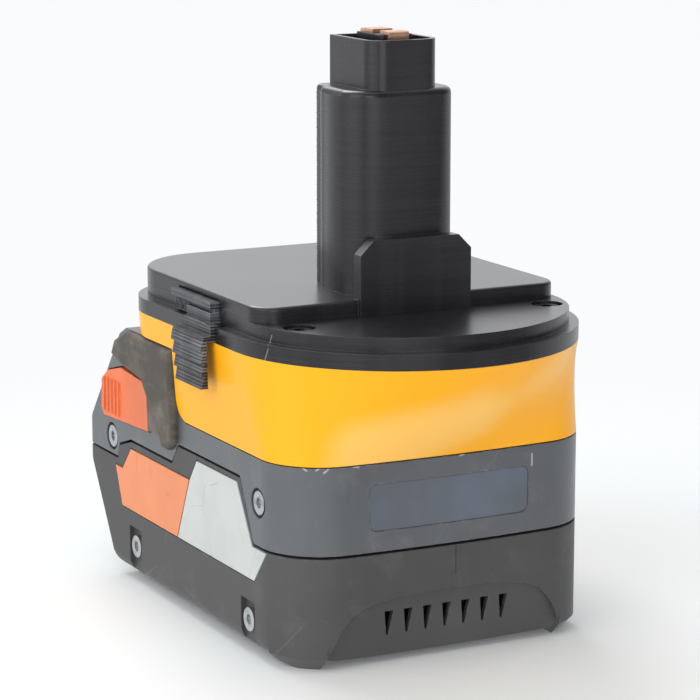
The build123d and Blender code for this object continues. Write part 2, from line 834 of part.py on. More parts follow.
# Cell holders: bored plates with lugs that the case screws bite into
with BuildPart() as cell_holder:
    with BuildSketch(Plane.YZ.offset(-cell_half)):
        draw_polygon([(from_front(holder_front_foot_run), holder_low),
                      (pack_rear - holder_foot_run, holder_low),
                      (pack_rear - holder_rear_run, holder_rear_foot_height),
                      (pack_rear - holder_rear_run, holder_high),
                      (from_front(holder_front_run), holder_high),
                      (from_front(holder_front_run), holder_front_foot_height)])
        with Locations(*cell_spots):
            Circle(cell_radius + cell_gap, mode=Mode.SUBTRACT)
    extrude(amount=holder_thickness)
    for index, (y, z) in enumerate(case_screw_places):
        solid_there = index == 1
        upper = index < len(upper_screw_places)
        low_z = z - lug_reach_below if upper else holder_low
        high_z = z + lug_half if not upper else holder_high
        high_z = z + lug_reach_above if solid_there else high_z
        inner_x = -cell_half if solid_there else -cell_half - 2 * slide_gap
        add(box_between((-lug_outer, y - lug_half, low_z), (inner_x, y + lug_half, high_z)))
        if not solid_there:
            bar_low = holder_high - holder_skin + cell_gap if upper else holder_low
            bar_high = holder_high if upper else holder_low + holder_skin - cell_gap
            add(box_between((-lug_outer, y - lug_half, bar_low),
                            (-cell_half, y + lug_half, bar_high)))
        add(rod_x(y, z, -lug_outer - overrun, inner_x + overrun, case_screw_shank + shaft_gap),
            mode=Mode.SUBTRACT)
export_pair(cell_holder.part, "cell_holder")

# Nickel strips that join the cells in pairs and in series
def link_columns(start):
    """First and last column of each strip, with the first strip cut short where it starts early."""
    return [(max(first, 0), min(first + strip_span_count, cell_columns) - 1)
            for first in range(start, cell_columns, strip_span_count)]


with BuildPart() as nickel_strips:
    for low_x, links in ((-cell_half - strip_thickness, link_columns(0)),
                         (cell_half, link_columns(-1))):
        for first, last in links:
            add(box_between((low_x, from_front(column_runs[first]) - strip_half,
                             row_heights[0] - strip_half),
                            (low_x + strip_thickness, from_front(column_runs[last]) + strip_half,
                             row_heights[-1] + strip_half)))
nickel_strips.part.label = "nickel_strips"
export_step(nickel_strips.part, "parts/nickel_strips.step")

# Protection board on the holders
with BuildPart() as control_board:
    add(box_between((-board_half_width, from_front(board_front_gap), holder_high),
                    (board_half_width, from_front(board_front_gap + board_length), board_top)))
    for index in range(chip_count):
        y = from_front(board_front_gap + board_length) - chip_pitch * (index + 1) + chip_size / 2
        add(box_between((-chip_size / 2, y - chip_size / 2, board_top - chip_height / 2),
                        (chip_size / 2, y + chip_size / 2, board_top + chip_height)))
control_board.part.label = "control_board"
export_step(control_board.part, "parts/control_board.step")

# Spring clips in the rail's slots, with pins down to the board
with BuildPart() as pack_terminals:
    for x in slot_places:
        for leaf_side in (-1, 1):
            low_x, high_x = sorted((x + leaf_side * clip_gap / 2,
                                    x + leaf_side * (clip_gap / 2 + clip_leaf)))
            add(box_between((low_x, clip_front, slot_bottom),
                            (high_x, clip_front + clip_length, slot_bottom + clip_height)))
        add(box_between((x - clip_gap / 2 - clip_leaf, clip_front, slot_bottom),
                        (x + clip_gap / 2 + clip_leaf, clip_front + clip_length,
                         slot_bottom + clip_leaf)))
        add(box_between((x - clip_pin / 2, clip_pin_y - clip_pin / 2, board_top),
                        (x + clip_pin / 2, clip_pin_y + clip_pin / 2, slot_bottom + clip_leaf)))
pack_terminals.part.label = "pack_terminals"
export_step(pack_terminals.part, "parts/pack_terminals.step")

# Screws in the sides of the case, with star drives
with BuildPart() as case_screws:
    seat = half_width - case_screw_recess_depth
    for y, z in case_screw_places:
        add(rod_x(y, z, -seat - case_screw_head_height, -seat, case_screw_head))
        add(rod_x(y, z, -seat - case_screw_head_height / 2, case_screw_length - seat,
                  case_screw_shank))
        with BuildSketch(Plane.YZ.offset(-seat - case_screw_head_height)):
            with Locations((y, z)):
                RegularPolygon(star_drive, 6)
                RegularPolygon(star_drive, 6, rotation=30)
        extrude(amount=star_drive_depth, mode=Mode.SUBTRACT)
    mirror(case_screws.part, about=Plane.YZ)
case_screws.part.label = "case_screws"
export_step(case_screws.part, "parts/case_screws.step")


# Adapter body
def inset_plan(half, front, rear, bow, front_corner, rear_corner, inset):
    """Draw a plan drawn in by a wall."""
    draw_plan(half - inset, front + inset, rear - inset, bow - inset, front_corner - inset,
              rear_corner - inset)


def body_loft(inset):
    """The body's outer or inner shape, from the pack's plan up to the lid's plan."""
    with BuildPart() as shape:
        with BuildSketch(Plane.XY.offset(body_low)):
            inset_plan(half_width, pack_front, lid_rear, front_bow_radius, body_bottom_corner,
                       lid_rear_corner, inset)
        with BuildSketch(Plane.XY.offset(body_top)):
            inset_plan(lid_half_width, nose_front, lid_rear, nose_radius, nose_corner,
                       lid_rear_corner, inset)
        loft(ruled=True)
    return shape.part


def body_side(low, rear_face, head_low, top, corner):
    """A full-width block with the body's side outline: low in front, raised over the head."""
    with BuildPart() as block:
        with BuildSketch(Plane.YZ.offset(-lid_half_width - overrun)):
            draw_polygon([(nose_front - overrun, low), (rear_face, low), (rear_face, head_low),
                          (lid_rear + overrun, head_low), (lid_rear + overrun, top),
                          (nose_front - overrun, top)])
            foot = [v for v in vertices()
                    if math.dist((v.X, v.Y), (rear_face, low)) < slide_gap]
            fillet(foot, corner)
        extrude(amount=2 * (lid_half_width + overrun))
    return block.part


lid_screw_half = lid_half_width - lid_screw_inset
front_screw_places = [(side * lid_screw_half, nose_front + lid_screw_front) for side in (-1, 1)]
rear_screw_places = [(side * lid_screw_half, lid_rear - lid_screw_rear) for side in (-1, 1)]
lid_screw_places = front_screw_places + rear_screw_places
rear_seat = body_head_low + slide_gap + lid_screw_head_height
front_seat = step_top - lid_screw_sink - lid_screw_head_height
with BuildPart() as body_cavity:
    add(body_loft(body_wall))
    add(body_side(body_floor_top, body_rear_face - body_wall, body_head_low + body_head_floor,
                  body_top, body_wall / 2), mode=Mode.INTERSECT)
    for x, y in lid_screw_places:
        with BuildSketch(Plane.XY.offset(body_low)):
            with Locations((x, y)):
                Circle(lid_boss)
        extrude(amount=body_top - body_low, mode=Mode.SUBTRACT)
with BuildPart() as adapter_body:
    add(body_loft(0))
    add(body_side(body_low, body_rear_face, body_head_low, body_top, deck_fillet - slide_gap),
        mode=Mode.INTERSECT)
    add(body_cavity.part, mode=Mode.SUBTRACT)
    add(box_between((-rail_neck_half - rail_gap, rail_front - 2 * rail_gap, body_low - overrun),
                    (rail_neck_half + rail_gap, body_rear_face + overrun,
                     body_floor_top + overrun / 2)), mode=Mode.SUBTRACT)
    add(box_between((-rail_flange_half - rail_gap, body_rear_face - body_wall - overrun,
                     body_floor_top),
                    (rail_flange_half + rail_gap, body_rear_face + overrun, rail_top + rail_gap)),
        mode=Mode.SUBTRACT)
    for side in (-1, 1):
        low_x, high_x = sorted((side * hook_window_inner, side * hook_window_outer))
        add(box_between((low_x, hook_front - button_gap, hook_low - button_gap),
                        (high_x, body_rear_face + overrun, hook_high + button_gap)),
            mode=Mode.SUBTRACT)
    with BuildSketch(Plane.XY.offset(body_top)):
        with Locations(*front_screw_places):
            Circle(lid_screw_shank + shaft_gap)
    extrude(amount=front_seat - lid_screw_length - slide_gap - body_top, mode=Mode.SUBTRACT)
    with BuildSketch(Plane.XY.offset(body_head_low)):
        with Locations(*rear_screw_places):
            Circle(lid_screw_shank + shaft_gap)
    extrude(amount=body_top - body_head_low, mode=Mode.SUBTRACT)
    with BuildSketch(Plane.XY.offset(body_head_low)):
        with Locations(*rear_screw_places):
            Circle(lid_screw_head + slide_gap)
    extrude(amount=rear_seat - body_head_low, mode=Mode.SUBTRACT)
adapter_body.part.label = "adapter_body"
export_step(adapter_body.part, "parts/adapter_body.step")

# Lid ring: a flange, a step and a locating lip, with channels for the latches
latch_centre = nose_front + pad_front + pad_length / 2
pad_side_gap = pad_length / 2 + button_gap
hook_front_y = nose_front + latch_hook_front
hook_rear_y = hook_front_y + latch_hook_length
latch_inner = lid_half_width - latch_slider_reach
latch_notch_inner = lid_half_width - latch_notch_inset
latch_floor = body_top + latch_channel_rise
latch_roof = latch_floor + latch_channel_height
latch_bridge_low = body_top + latch_bridge_rise
latch_bridge_high = latch_bridge_low + latch_bridge_height
latch_slider_low = body_top + latch_slider_rise
latch_block_high = latch_bridge_high + latch_block_height
latch_ledge_low = latch_block_high + latch_ledge_gap
latch_ledge_high = latch_ledge_low + latch_ledge_height
lip_inset = body_wall + slide_gap + nose_overhang * lip_height / (body_top - body_low)
with BuildPart() as lid_ring:
    with BuildSketch(Plane.XY.offset(body_top)):
        inset_plan(lid_half_width, nose_front, lid_rear, nose_radius, nose_corner,
                   lid_rear_corner, 0)
    extrude(amount=ring_height)
    with BuildSketch(Plane.XY.offset(ring_top)):
        draw_plan(step_half, nose_front + step_nose_inset, step_rear, step_nose_radius,
                  step_nose_corner, step_rear_corner)
    extrude(amount=step_height)
    with BuildSketch(Plane.XY.offset(body_top - lip_height)):
        inset_plan(lid_half_width, nose_front, lid_rear, nose_radius, nose_corner,
                   lid_rear_corner, lip_inset)
        offset(amount=-lip_wall, mode=Mode.SUBTRACT)
        with Locations(*lid_screw_places):
            Circle(lid_boss + slide_gap, mode=Mode.SUBTRACT)
    extrude(amount=lip_height)
    with BuildSketch(Plane.XY.offset(body_top - lip_height)):
        with Locations((0, nose_front + lid_window_front + lid_window_length / 2)):
            RectangleRounded(2 * lid_window_half, lid_window_length, lid_window_corner)
    extrude(amount=lip_height + ring_height + step_height, mode=Mode.SUBTRACT)
    for side in (-1, 1):
        for low, high in (
                ((lid_half_width - latch_ring_inset, latch_centre - pad_side_gap,
                  body_top - overrun),
                 (lid_half_width + overrun, latch_centre + pad_side_gap, ring_top)),
                ((latch_notch_inner, hook_front_y - button_gap, ring_top),
                 (lid_half_width + overrun, hook_rear_y + button_gap, step_top + overrun)),
                ((latch_inner - latch_spring_length, latch_centre - latch_slider_half - slide_gap,
                  latch_floor),
                 (lid_half_width, latch_centre + latch_slider_half + slide_gap, latch_roof))):
            low_x, high_x = sorted((side * low[0], side * high[0]))
            add(box_between((low_x, low[1], low[2]), (high_x, high[1], high[2])),
                mode=Mode.SUBTRACT)
    with BuildSketch(Plane.XY.offset(body_top)):
        with Locations(*lid_screw_places):
            Circle(lid_screw_shank + shaft_gap)
    extrude(amount=step_top - body_top - lid_screw_sink, mode=Mode.SUBTRACT)
    with BuildSketch(Plane.XY.offset(front_seat)):
        with Locations(*front_screw_places):
            Circle(lid_screw_seat)
    extrude(amount=step_top - front_seat, mode=Mode.SUBTRACT)
lid_ring.part.label = "lid_ring"
export_step(lid_ring.part, "parts/lid_ring.step")


# Tower plate: plate, key block, tower and collar in one print
def rounded_box(half, front, rear, low, high, front_corner, rear_corner, top_round=0):
    """A box with its own front and rear corner radii and a rounded top edge."""
    with BuildPart() as box:
        with BuildSketch(Plane.XY.offset(low)):
            draw_polygon([(-half, front), (half, front), (half, rear), (-half, rear)])
            fillet(vertices().group_by(Axis.Y)[0], front_corner)
            fillet(vertices().group_by(Axis.Y)[-1], rear_corner)
        extrude(amount=high - low)
        if top_round:
            fillet(box.faces().sort_by(Axis.Z)[-1].edges(), top_round)
    return box.part


collar_front = tower_front + collar_inset
collar_rear = collar_front + collar_depth
lobe_rear = tower_front + tower_lobe_depth
wire_x = terminal_half - wire_hole
wire_y = tower_front + terminal_setback + 2 * wire_hole
block_front = plate_front - block_proud
with BuildPart() as key_block:
    add(box_between((-block_half, block_front, step_top),
                    (block_half, block_front + block_depth, plate_top + block_height)))
    chamfer(key_block.faces().sort_by(Axis.Z)[-1].edges().filter_by(Axis.Y), block_chamfer)
    add(box_between((-block_neck_half, block_front + block_depth / 2, step_top),
                    (block_neck_half, tower_front + tower_wall / 2, plate_top + block_height)))
with BuildPart() as tower_plate:
    add(rounded_box(step_half, plate_front, step_rear, step_top, plate_top, plate_front_corner,
                    step_rear_corner, edge_round))
    add(key_block.part)
    add(rounded_box(tower_half, tower_front, lobe_rear, step_top, tower_top, tower_front_corner,
                    tower_rear_corner, tower_round))
    add(rounded_box(tower_slab_half, lobe_rear - tower_rear_corner,
                    tower_front + tower_slab_depth, step_top, tower_top, tower_slab_corner,
                    tower_slab_corner, tower_slab_round))
    add(rounded_box(collar_half, collar_front, collar_rear, plate_top, rim_top,
                    collar_front_corner, collar_rear_corner))
    add(rounded_box(collar_half - collar_wall, collar_front + collar_wall,
                    collar_rear - collar_wall, tower_floor_top, rim_top + overrun,
                    collar_front_corner - collar_wall, collar_rear_corner / 2),
        mode=Mode.SUBTRACT)
    add(rounded_box(tower_half - tower_wall, tower_front + tower_wall, lobe_rear - tower_wall,
                    step_top - overrun, tower_floor_low, tower_front_corner - tower_wall,
                    tower_rear_corner - tower_wall), mode=Mode.SUBTRACT)
    with BuildSketch(Plane.XY.offset(tower_floor_low)):
        with Locations((-wire_x, wire_y), (wire_x, wire_y)):
            Circle(wire_hole)
    extrude(amount=tower_floor, mode=Mode.SUBTRACT)
    for side in (-1, 1):
        low_x, high_x = sorted((side * latch_notch_inner, side * (lid_half_width + overrun)))
        add(box_between((low_x, hook_front_y - button_gap, step_top - overrun),
                        (high_x, hook_rear_y + button_gap, latch_ledge_high + button_gap)),
            mode=Mode.SUBTRACT)
tower_plate.part.label = "tower_plate"
export_step(tower_plate.part, "parts/tower_plate.step")

# Terminal block and its two copper straps
terminal_front = tower_front + terminal_setback
terminal_rear = terminal_front + terminal_depth
terminal_top = rim_top + terminal_proud
with BuildPart() as terminal_block:
    add(box_between((-terminal_half, terminal_front, tower_floor_top),
                    (terminal_half, terminal_rear, terminal_top)))
    chamfer(terminal_block.edges().filter_by(Axis.Z), collar_rear_corner)
terminal_block.part.label = "terminal_block"
export_step(terminal_block.part, "parts/terminal_block.step")
with BuildPart() as front_contact:
    add(box_between((-contact_half, terminal_front - contact_thickness,
                     terminal_top - contact_front_drop),
                    (contact_half, terminal_front, terminal_top + contact_thickness)))
    add(box_between((-contact_half, terminal_front - contact_thickness, terminal_top),
                    (contact_half, terminal_front + contact_fold,
                     terminal_top + contact_thickness)))
    fillet(front_contact.edges().filter_by(Axis.X).sort_by(
        lambda edge: edge.center().Z - edge.center().Y)[-1], contact_thickness * bend_share)
front_contact.part.label = "front_contact"
export_step(front_contact.part, "parts/front_contact.step")
with BuildPart() as rear_contact:
    add(box_between((-contact_half, terminal_rear, terminal_top - contact_front_drop),
                    (contact_half, terminal_rear + contact_thickness,
                     terminal_top + contact_thickness)))
    add(box_between((-contact_half, terminal_rear - contact_rear_fold, terminal_top),
                    (contact_half, terminal_rear + contact_thickness,
                     terminal_top + contact_thickness)))
    fillet(rear_contact.edges().filter_by(Axis.X).sort_by(
        lambda edge: edge.center().Z + edge.center().Y)[-1], contact_thickness * bend_share)
rear_contact.part.label = "rear_contact"
export_step(rear_contact.part, "parts/rear_contact.step")

# Blade holder on the adapter's floor, and the two blades in it
blade_low = body_floor_top + blade_rise
holder_back = rail_front - 2 * rail_gap
blade_front = holder_back - blade_holder_depth
with BuildPart() as blade_holder:
    add(box_between((-blade_holder_half, blade_front, body_floor_top),
                    (blade_holder_half, holder_back, body_floor_top + blade_holder_height)))
    for x in blade_places:
        add(box_between((x - blade_thickness / 2, blade_front - overrun, blade_low),
                        (x + blade_thickness / 2, holder_back + overrun,
                         blade_low + blade_height)), mode=Mode.SUBTRACT)
blade_holder.part.label = "blade_holder"
export_step(blade_holder.part, "parts/blade_holder.step")
with BuildPart() as adapter_blades:
    for x in blade_places:
        add(box_between((x - blade_thickness / 2, blade_front, blade_low),
                        (x + blade_thickness / 2, blade_front + blade_length,
                         blade_low + blade_height)))
adapter_blades.part.label = "adapter_blades"
export_step(adapter_blades.part, "parts/adapter_blades.step")

# Leads from the blade holder up through the tower to the terminal block
for name, side in (("positive_wire", 1), ("negative_wire", -1)):
    start = Vector(side * blade_places[-1], blade_front + blade_holder_depth / 2,
                   body_floor_top + blade_holder_height)
    turn_height = start.Z + wire_rise
    with BuildPart() as wire:
        with BuildLine() as path:
            FilletPolyline(start, (start.X, start.Y, turn_height),
                           (side * wire_x, wire_y, turn_height),
                           (side * wire_x, wire_y, tower_floor_top), radius=wire_bend)
        with BuildSketch(Plane(origin=start, z_dir=(0, 0, 1))):
            Circle(wire_radius)
        sweep(path=path.wire())
    print(name, "volume over section times length",
          round(wire.part.volume / (math.pi * wire_radius ** 2 * path.wire().length), 4))
    wire.part.label = name
    export_step(wire.part, f"parts/{name}.step")

# Lid screws: two sink into the step from above, two come up through the rear floor
with BuildPart() as lid_screws:
    for x, y in front_screw_places:
        with BuildSketch(Plane.XY.offset(front_seat)):
            with Locations((x, y)):
                Circle(lid_screw_head)
        extrude(amount=lid_screw_head_height)
        with BuildSketch(Plane.XY.offset(front_seat)):
            with Locations((x, y)):
                Circle(lid_screw_shank)
        extrude(amount=-lid_screw_length)
        with BuildSketch(Plane.XY.offset(front_seat + lid_screw_head_height)):
            with Locations((x, y)):
                RegularPolygon(star_drive, 6)
        extrude(amount=-star_drive_depth, mode=Mode.SUBTRACT)
    for x, y in rear_screw_places:
        with BuildSketch(Plane.XY.offset(rear_seat)):
            with Locations((x, y)):
                Circle(lid_screw_head)
        extrude(amount=-lid_screw_head_height)
        with BuildSketch(Plane.XY.offset(rear_seat)):
            with Locations((x, y)):
                Circle(lid_screw_shank)
        extrude(amount=step_top - rear_seat - 2 * overrun)
        with BuildSketch(Plane.XY.offset(rear_seat - lid_screw_head_height)):
            with Locations((x, y)):
                RegularPolygon(star_drive, 6)
        extrude(amount=star_drive_depth, mode=Mode.SUBTRACT)
lid_screws.part.label = "lid_screws"
export_step(lid_screws.part, "parts/lid_screws.step")

# Side latches: a thumb pad outside the body, a bridge, a slider and a two-step hook
pad_inner = lid_half_width + pad_gap
pad_outer = pad_inner + pad_thickness
pad_lean = lid_flare * pad_lean_share
pad_high = body_top + pad_rise
pad_low = pad_high - pad_height
pad_drop = pad_height / pad_rib_count
pad_front_y = latch_centre - pad_length / 2
pad_rear_y = latch_centre + pad_length / 2
shoulder_outer = lid_half_width + latch_shoulder_proud
bridge_inner = lid_half_width - latch_bridge_inset
pad_points = [(-bridge_inner, latch_bridge_low), (-pad_inner, latch_bridge_low),
              (pad_lean - pad_inner, pad_low)]
for index in range(pad_rib_count):
    lean = pad_lean * (1 - index / pad_rib_count)
    low_z = pad_low + index * pad_drop
    pad_points += [(lean - pad_outer, low_z),
                   (lean - pad_outer + pad_rib_proud, low_z + pad_drop)]
pad_points += [(-shoulder_outer, pad_high), (-shoulder_outer, latch_bridge_high),
               (-bridge_inner, latch_bridge_high)]
column_outer = lid_half_width - latch_column_inset
column_inner = column_outer - latch_column_width
hook_outer = lid_half_width - latch_hook_inset
with BuildPart() as latch:
    with BuildSketch(Plane.XZ.offset(-pad_rear_y)):
        draw_polygon(pad_points)
    extrude(amount=pad_length)
    with BuildSketch(Plane.YZ.offset(-pad_outer - overrun)):
        draw_polygon([(pad_rear_y + overrun, pad_low - overrun), (pad_rear_y - pad_taper, pad_low - overrun),
                      (pad_rear_y - pad_taper, pad_low), (pad_rear_y, latch_bridge_low),
                      (pad_rear_y + overrun, latch_bridge_low)])
    extrude(amount=pad_thickness + pad_gap + 2 * overrun, mode=Mode.SUBTRACT)
    add(box_between((-shoulder_outer, latch_centre - latch_slider_half, latch_slider_low),
                    (-latch_inner, latch_centre + latch_slider_half,
                     latch_slider_low + latch_slider_height)))
    add(box_between((-column_outer, hook_front_y, latch_bridge_high),
                    (-column_inner, hook_rear_y, latch_ledge_high)))
    add(box_between((-hook_outer, hook_front_y, latch_bridge_high),
                    (-column_inner, hook_front_y + latch_block_length, latch_block_high)))
    add(box_between((-hook_outer, hook_front_y, latch_ledge_low),
                    (-column_inner, hook_rear_y, latch_ledge_high)))
export_pair(latch.part, "latch")

latch_coil = spring_coil(latch_spring_length, latch_coil_radius, latch_wire, latch_turns)
with BuildPart() as latch_spring:
    with Locations((-latch_inner, latch_centre, (latch_floor + latch_roof) / 2)):
        add(latch_coil)
export_pair(latch_spring.part, "latch_spring")
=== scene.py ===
"""Looks for a tool battery adapter docked on its slide-on battery pack.

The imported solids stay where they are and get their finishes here. Pieces too fine for them, such
as weld spots, chip legs, the printed tower's seam beads and the latches' stray strands, are built
on top.
"""

import functools
import logging
import math
from collections.abc import Mapping, Sequence
from dataclasses import dataclass
from enum import Enum

import bpy
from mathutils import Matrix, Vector


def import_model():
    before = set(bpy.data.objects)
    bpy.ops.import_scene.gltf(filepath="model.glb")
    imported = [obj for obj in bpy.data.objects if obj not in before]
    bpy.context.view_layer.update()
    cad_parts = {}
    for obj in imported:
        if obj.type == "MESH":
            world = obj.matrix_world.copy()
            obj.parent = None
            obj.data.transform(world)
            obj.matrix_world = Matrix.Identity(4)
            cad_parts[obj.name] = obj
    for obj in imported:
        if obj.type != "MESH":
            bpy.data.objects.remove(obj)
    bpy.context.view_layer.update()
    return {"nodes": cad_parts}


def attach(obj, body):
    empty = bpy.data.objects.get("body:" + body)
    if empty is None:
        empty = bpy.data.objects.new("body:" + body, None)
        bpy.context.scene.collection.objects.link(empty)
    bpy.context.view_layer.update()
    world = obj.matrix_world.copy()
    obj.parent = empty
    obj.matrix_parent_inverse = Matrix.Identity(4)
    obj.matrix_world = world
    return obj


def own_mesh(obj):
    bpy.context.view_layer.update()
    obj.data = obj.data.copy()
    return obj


MM = 0.001
SIDES = ((-1, "left"), (1, "right"))
# The curve between the levels of a screen and light
SRGB_TOE, SRGB_SLOPE, SRGB_OFFSET, SRGB_POWER = 0.04045, 12.92, 0.055, 2.4
log = logging.getLogger("battery_adapter")

Colour = tuple[float, float, float]
Point = tuple[float, float, float]


def srgb(red: int, green: int, blue: int) -> Colour:
    """Turn a colour as seen on a screen into the linear numbers that shaders use.

    Args:
        red: Red level, 0 to 255.
        green: Green level, 0 to 255.
        blue: Blue level, 0 to 255.

    Returns:
        The linear colour.
    """
    def linear(level: int) -> float:
        """Turn one level."""
        share = level / 255
        if share <= SRGB_TOE:
            return share / SRGB_SLOPE
        return ((share + SRGB_OFFSET) / (1 + SRGB_OFFSET)) ** SRGB_POWER

    return linear(red), linear(green), linear(blue)


def scaled(colour: Colour, share: float) -> Colour:
    """Darken or brighten a colour evenly."""
    return tuple(share * level for level in colour)


def put_in_scene(name: str, data: bpy.types.ID) -> bpy.types.Object:
    """Add an object to the scene.

    Args:
        name: Its name.
        data: Mesh, lamp or camera that it carries.

    Returns:
        The object.
    """
    made = bpy.data.objects.new(name, data)
    bpy.context.scene.collection.objects.link(made)
    return made


def put_aimed(name: str, data: bpy.types.ID, place: Vector | Point,
              heading: Vector) -> bpy.types.Object:
    """Add a lamp or a camera.

    Args:
        name: Its name.
        data: The lamp or the camera.
        place: Where it stands, in metres.
        heading: The way it points.

    Returns:
        The object.
    """
    made = put_in_scene(name, data)
    made.location = place
    made.rotation_mode = "QUATERNION"
    made.rotation_quaternion = heading.to_track_quat("-Z", "Y")
    return made


class Value:
    """A number in a shader tree, so that shader maths reads as plain sums."""

    def __init__(self, sheet: "ShaderSheet", socket: bpy.types.NodeSocket) -> None:
        """Keep the tree and the socket that carries the number."""
        self.sheet = sheet
        self.socket = socket

    def __add__(self, other: "Number") -> "Value":
        """Add a number or a value."""
        return self.sheet.maths("ADD", self, other)

    __radd__ = __add__

    def __sub__(self, other: "Number") -> "Value":
        """Take away a number or a value."""
        return self.sheet.maths("SUBTRACT", self, other)

    def __rsub__(self, other: "Number") -> "Value":
        """Take this value from a number."""
        return self.sheet.maths("SUBTRACT", other, self)

    def __mul__(self, other: "Number") -> "Value":
        """Multiply by a number or a value."""
        return self.sheet.maths("MULTIPLY", self, other)

    __rmul__ = __mul__

    def __truediv__(self, other: "Number") -> "Value":
        """Divide by a number or a value."""
        return self.sheet.maths("DIVIDE", self, other)

    def __abs__(self) -> "Value":
        """Drop the sign."""
        return self.sheet.maths("ABSOLUTE", self)

    def sine(self) -> "Value":
        """Sine of an angle in radians."""
        return self.sheet.maths("SINE", self)

    def ramp(self, low: float, high: float) -> "Value":
        """Rise smoothly from 0 at the low value to 1 at the high one.

        Args:
            low: Value that gives 0.
            high: Value that gives 1, which may be the smaller of the two.

        Returns:
            The ramped value.
        """
        made = self.sheet.node("MapRange", {"Value": self, "From Min": low, "From Max": high},
                               interpolation_type="SMOOTHSTEP")
        return Value(self.sheet, made.outputs[0])


Number = Value | float | int
Feed = Value | bpy.types.NodeSocket | bpy.types.Material | float | int | Sequence[float]


@dataclass(frozen=True)
class Mark:
    """A straight mark on a surface: gate line, nick, scratch or wide pale painted highlight."""

    start: Point
    end: Point
    width: float
    colour: Colour
    strength: float
    core: float = 0.35

    def draw(self, sheet: "ShaderSheet", tone: Feed) -> Feed:
        """Lay the mark over a colour.

        Args:
            sheet: Tree to draw in.
            tone: Colour under the mark.

        Returns:
            The marked colour.
        """
        line = sheet.line_gap(self.start, self.end).ramp(self.width, self.width * self.core)
        return sheet.mix_colour(line * self.strength, tone, self.colour)


@dataclass(frozen=True)
class Barrel:
    """A stretch of wall that shades as if it bulged like a barrel."""

    middle: float
    half_width: float
    half_depth: float
    low: float
    high: float
    share: float
    fade: float = 0.3 * MM


class NodeSheet:
    """A node tree, and a short way of adding nodes to it."""

    prefix = ""

    def __init__(self, tree: bpy.types.NodeTree) -> None:
        """Keep the tree that the nodes go into."""
        self.tree = tree

    def node(self, kind: str, sockets: Mapping[str | int, Feed] | None = None,
             **settings: object) -> bpy.types.Node:
        """Add a node.

        Args:
            kind: Node type without the class's prefix.
            sockets: Values or links, by socket name or number.
            settings: Properties of the node, set before its sockets.

        Returns:
            The node.
        """
        made = self.tree.nodes.new(self.prefix + kind)
        for name, setting in settings.items():
            setattr(made, name, setting)
        for key, value in (sockets or {}).items():
            self._feed(made.inputs[key], value)
        return made

    def _feed(self, socket: bpy.types.NodeSocket, value: Feed) -> None:
        """Link a socket, or set it to a plain value."""
        if isinstance(value, Value):
            value = value.socket
        if isinstance(value, bpy.types.NodeSocket):
            self.tree.links.new(value, socket)
        elif socket.type == "RGBA":
            socket.default_value = (*value[:3], 1.0)
        else:
            socket.default_value = value


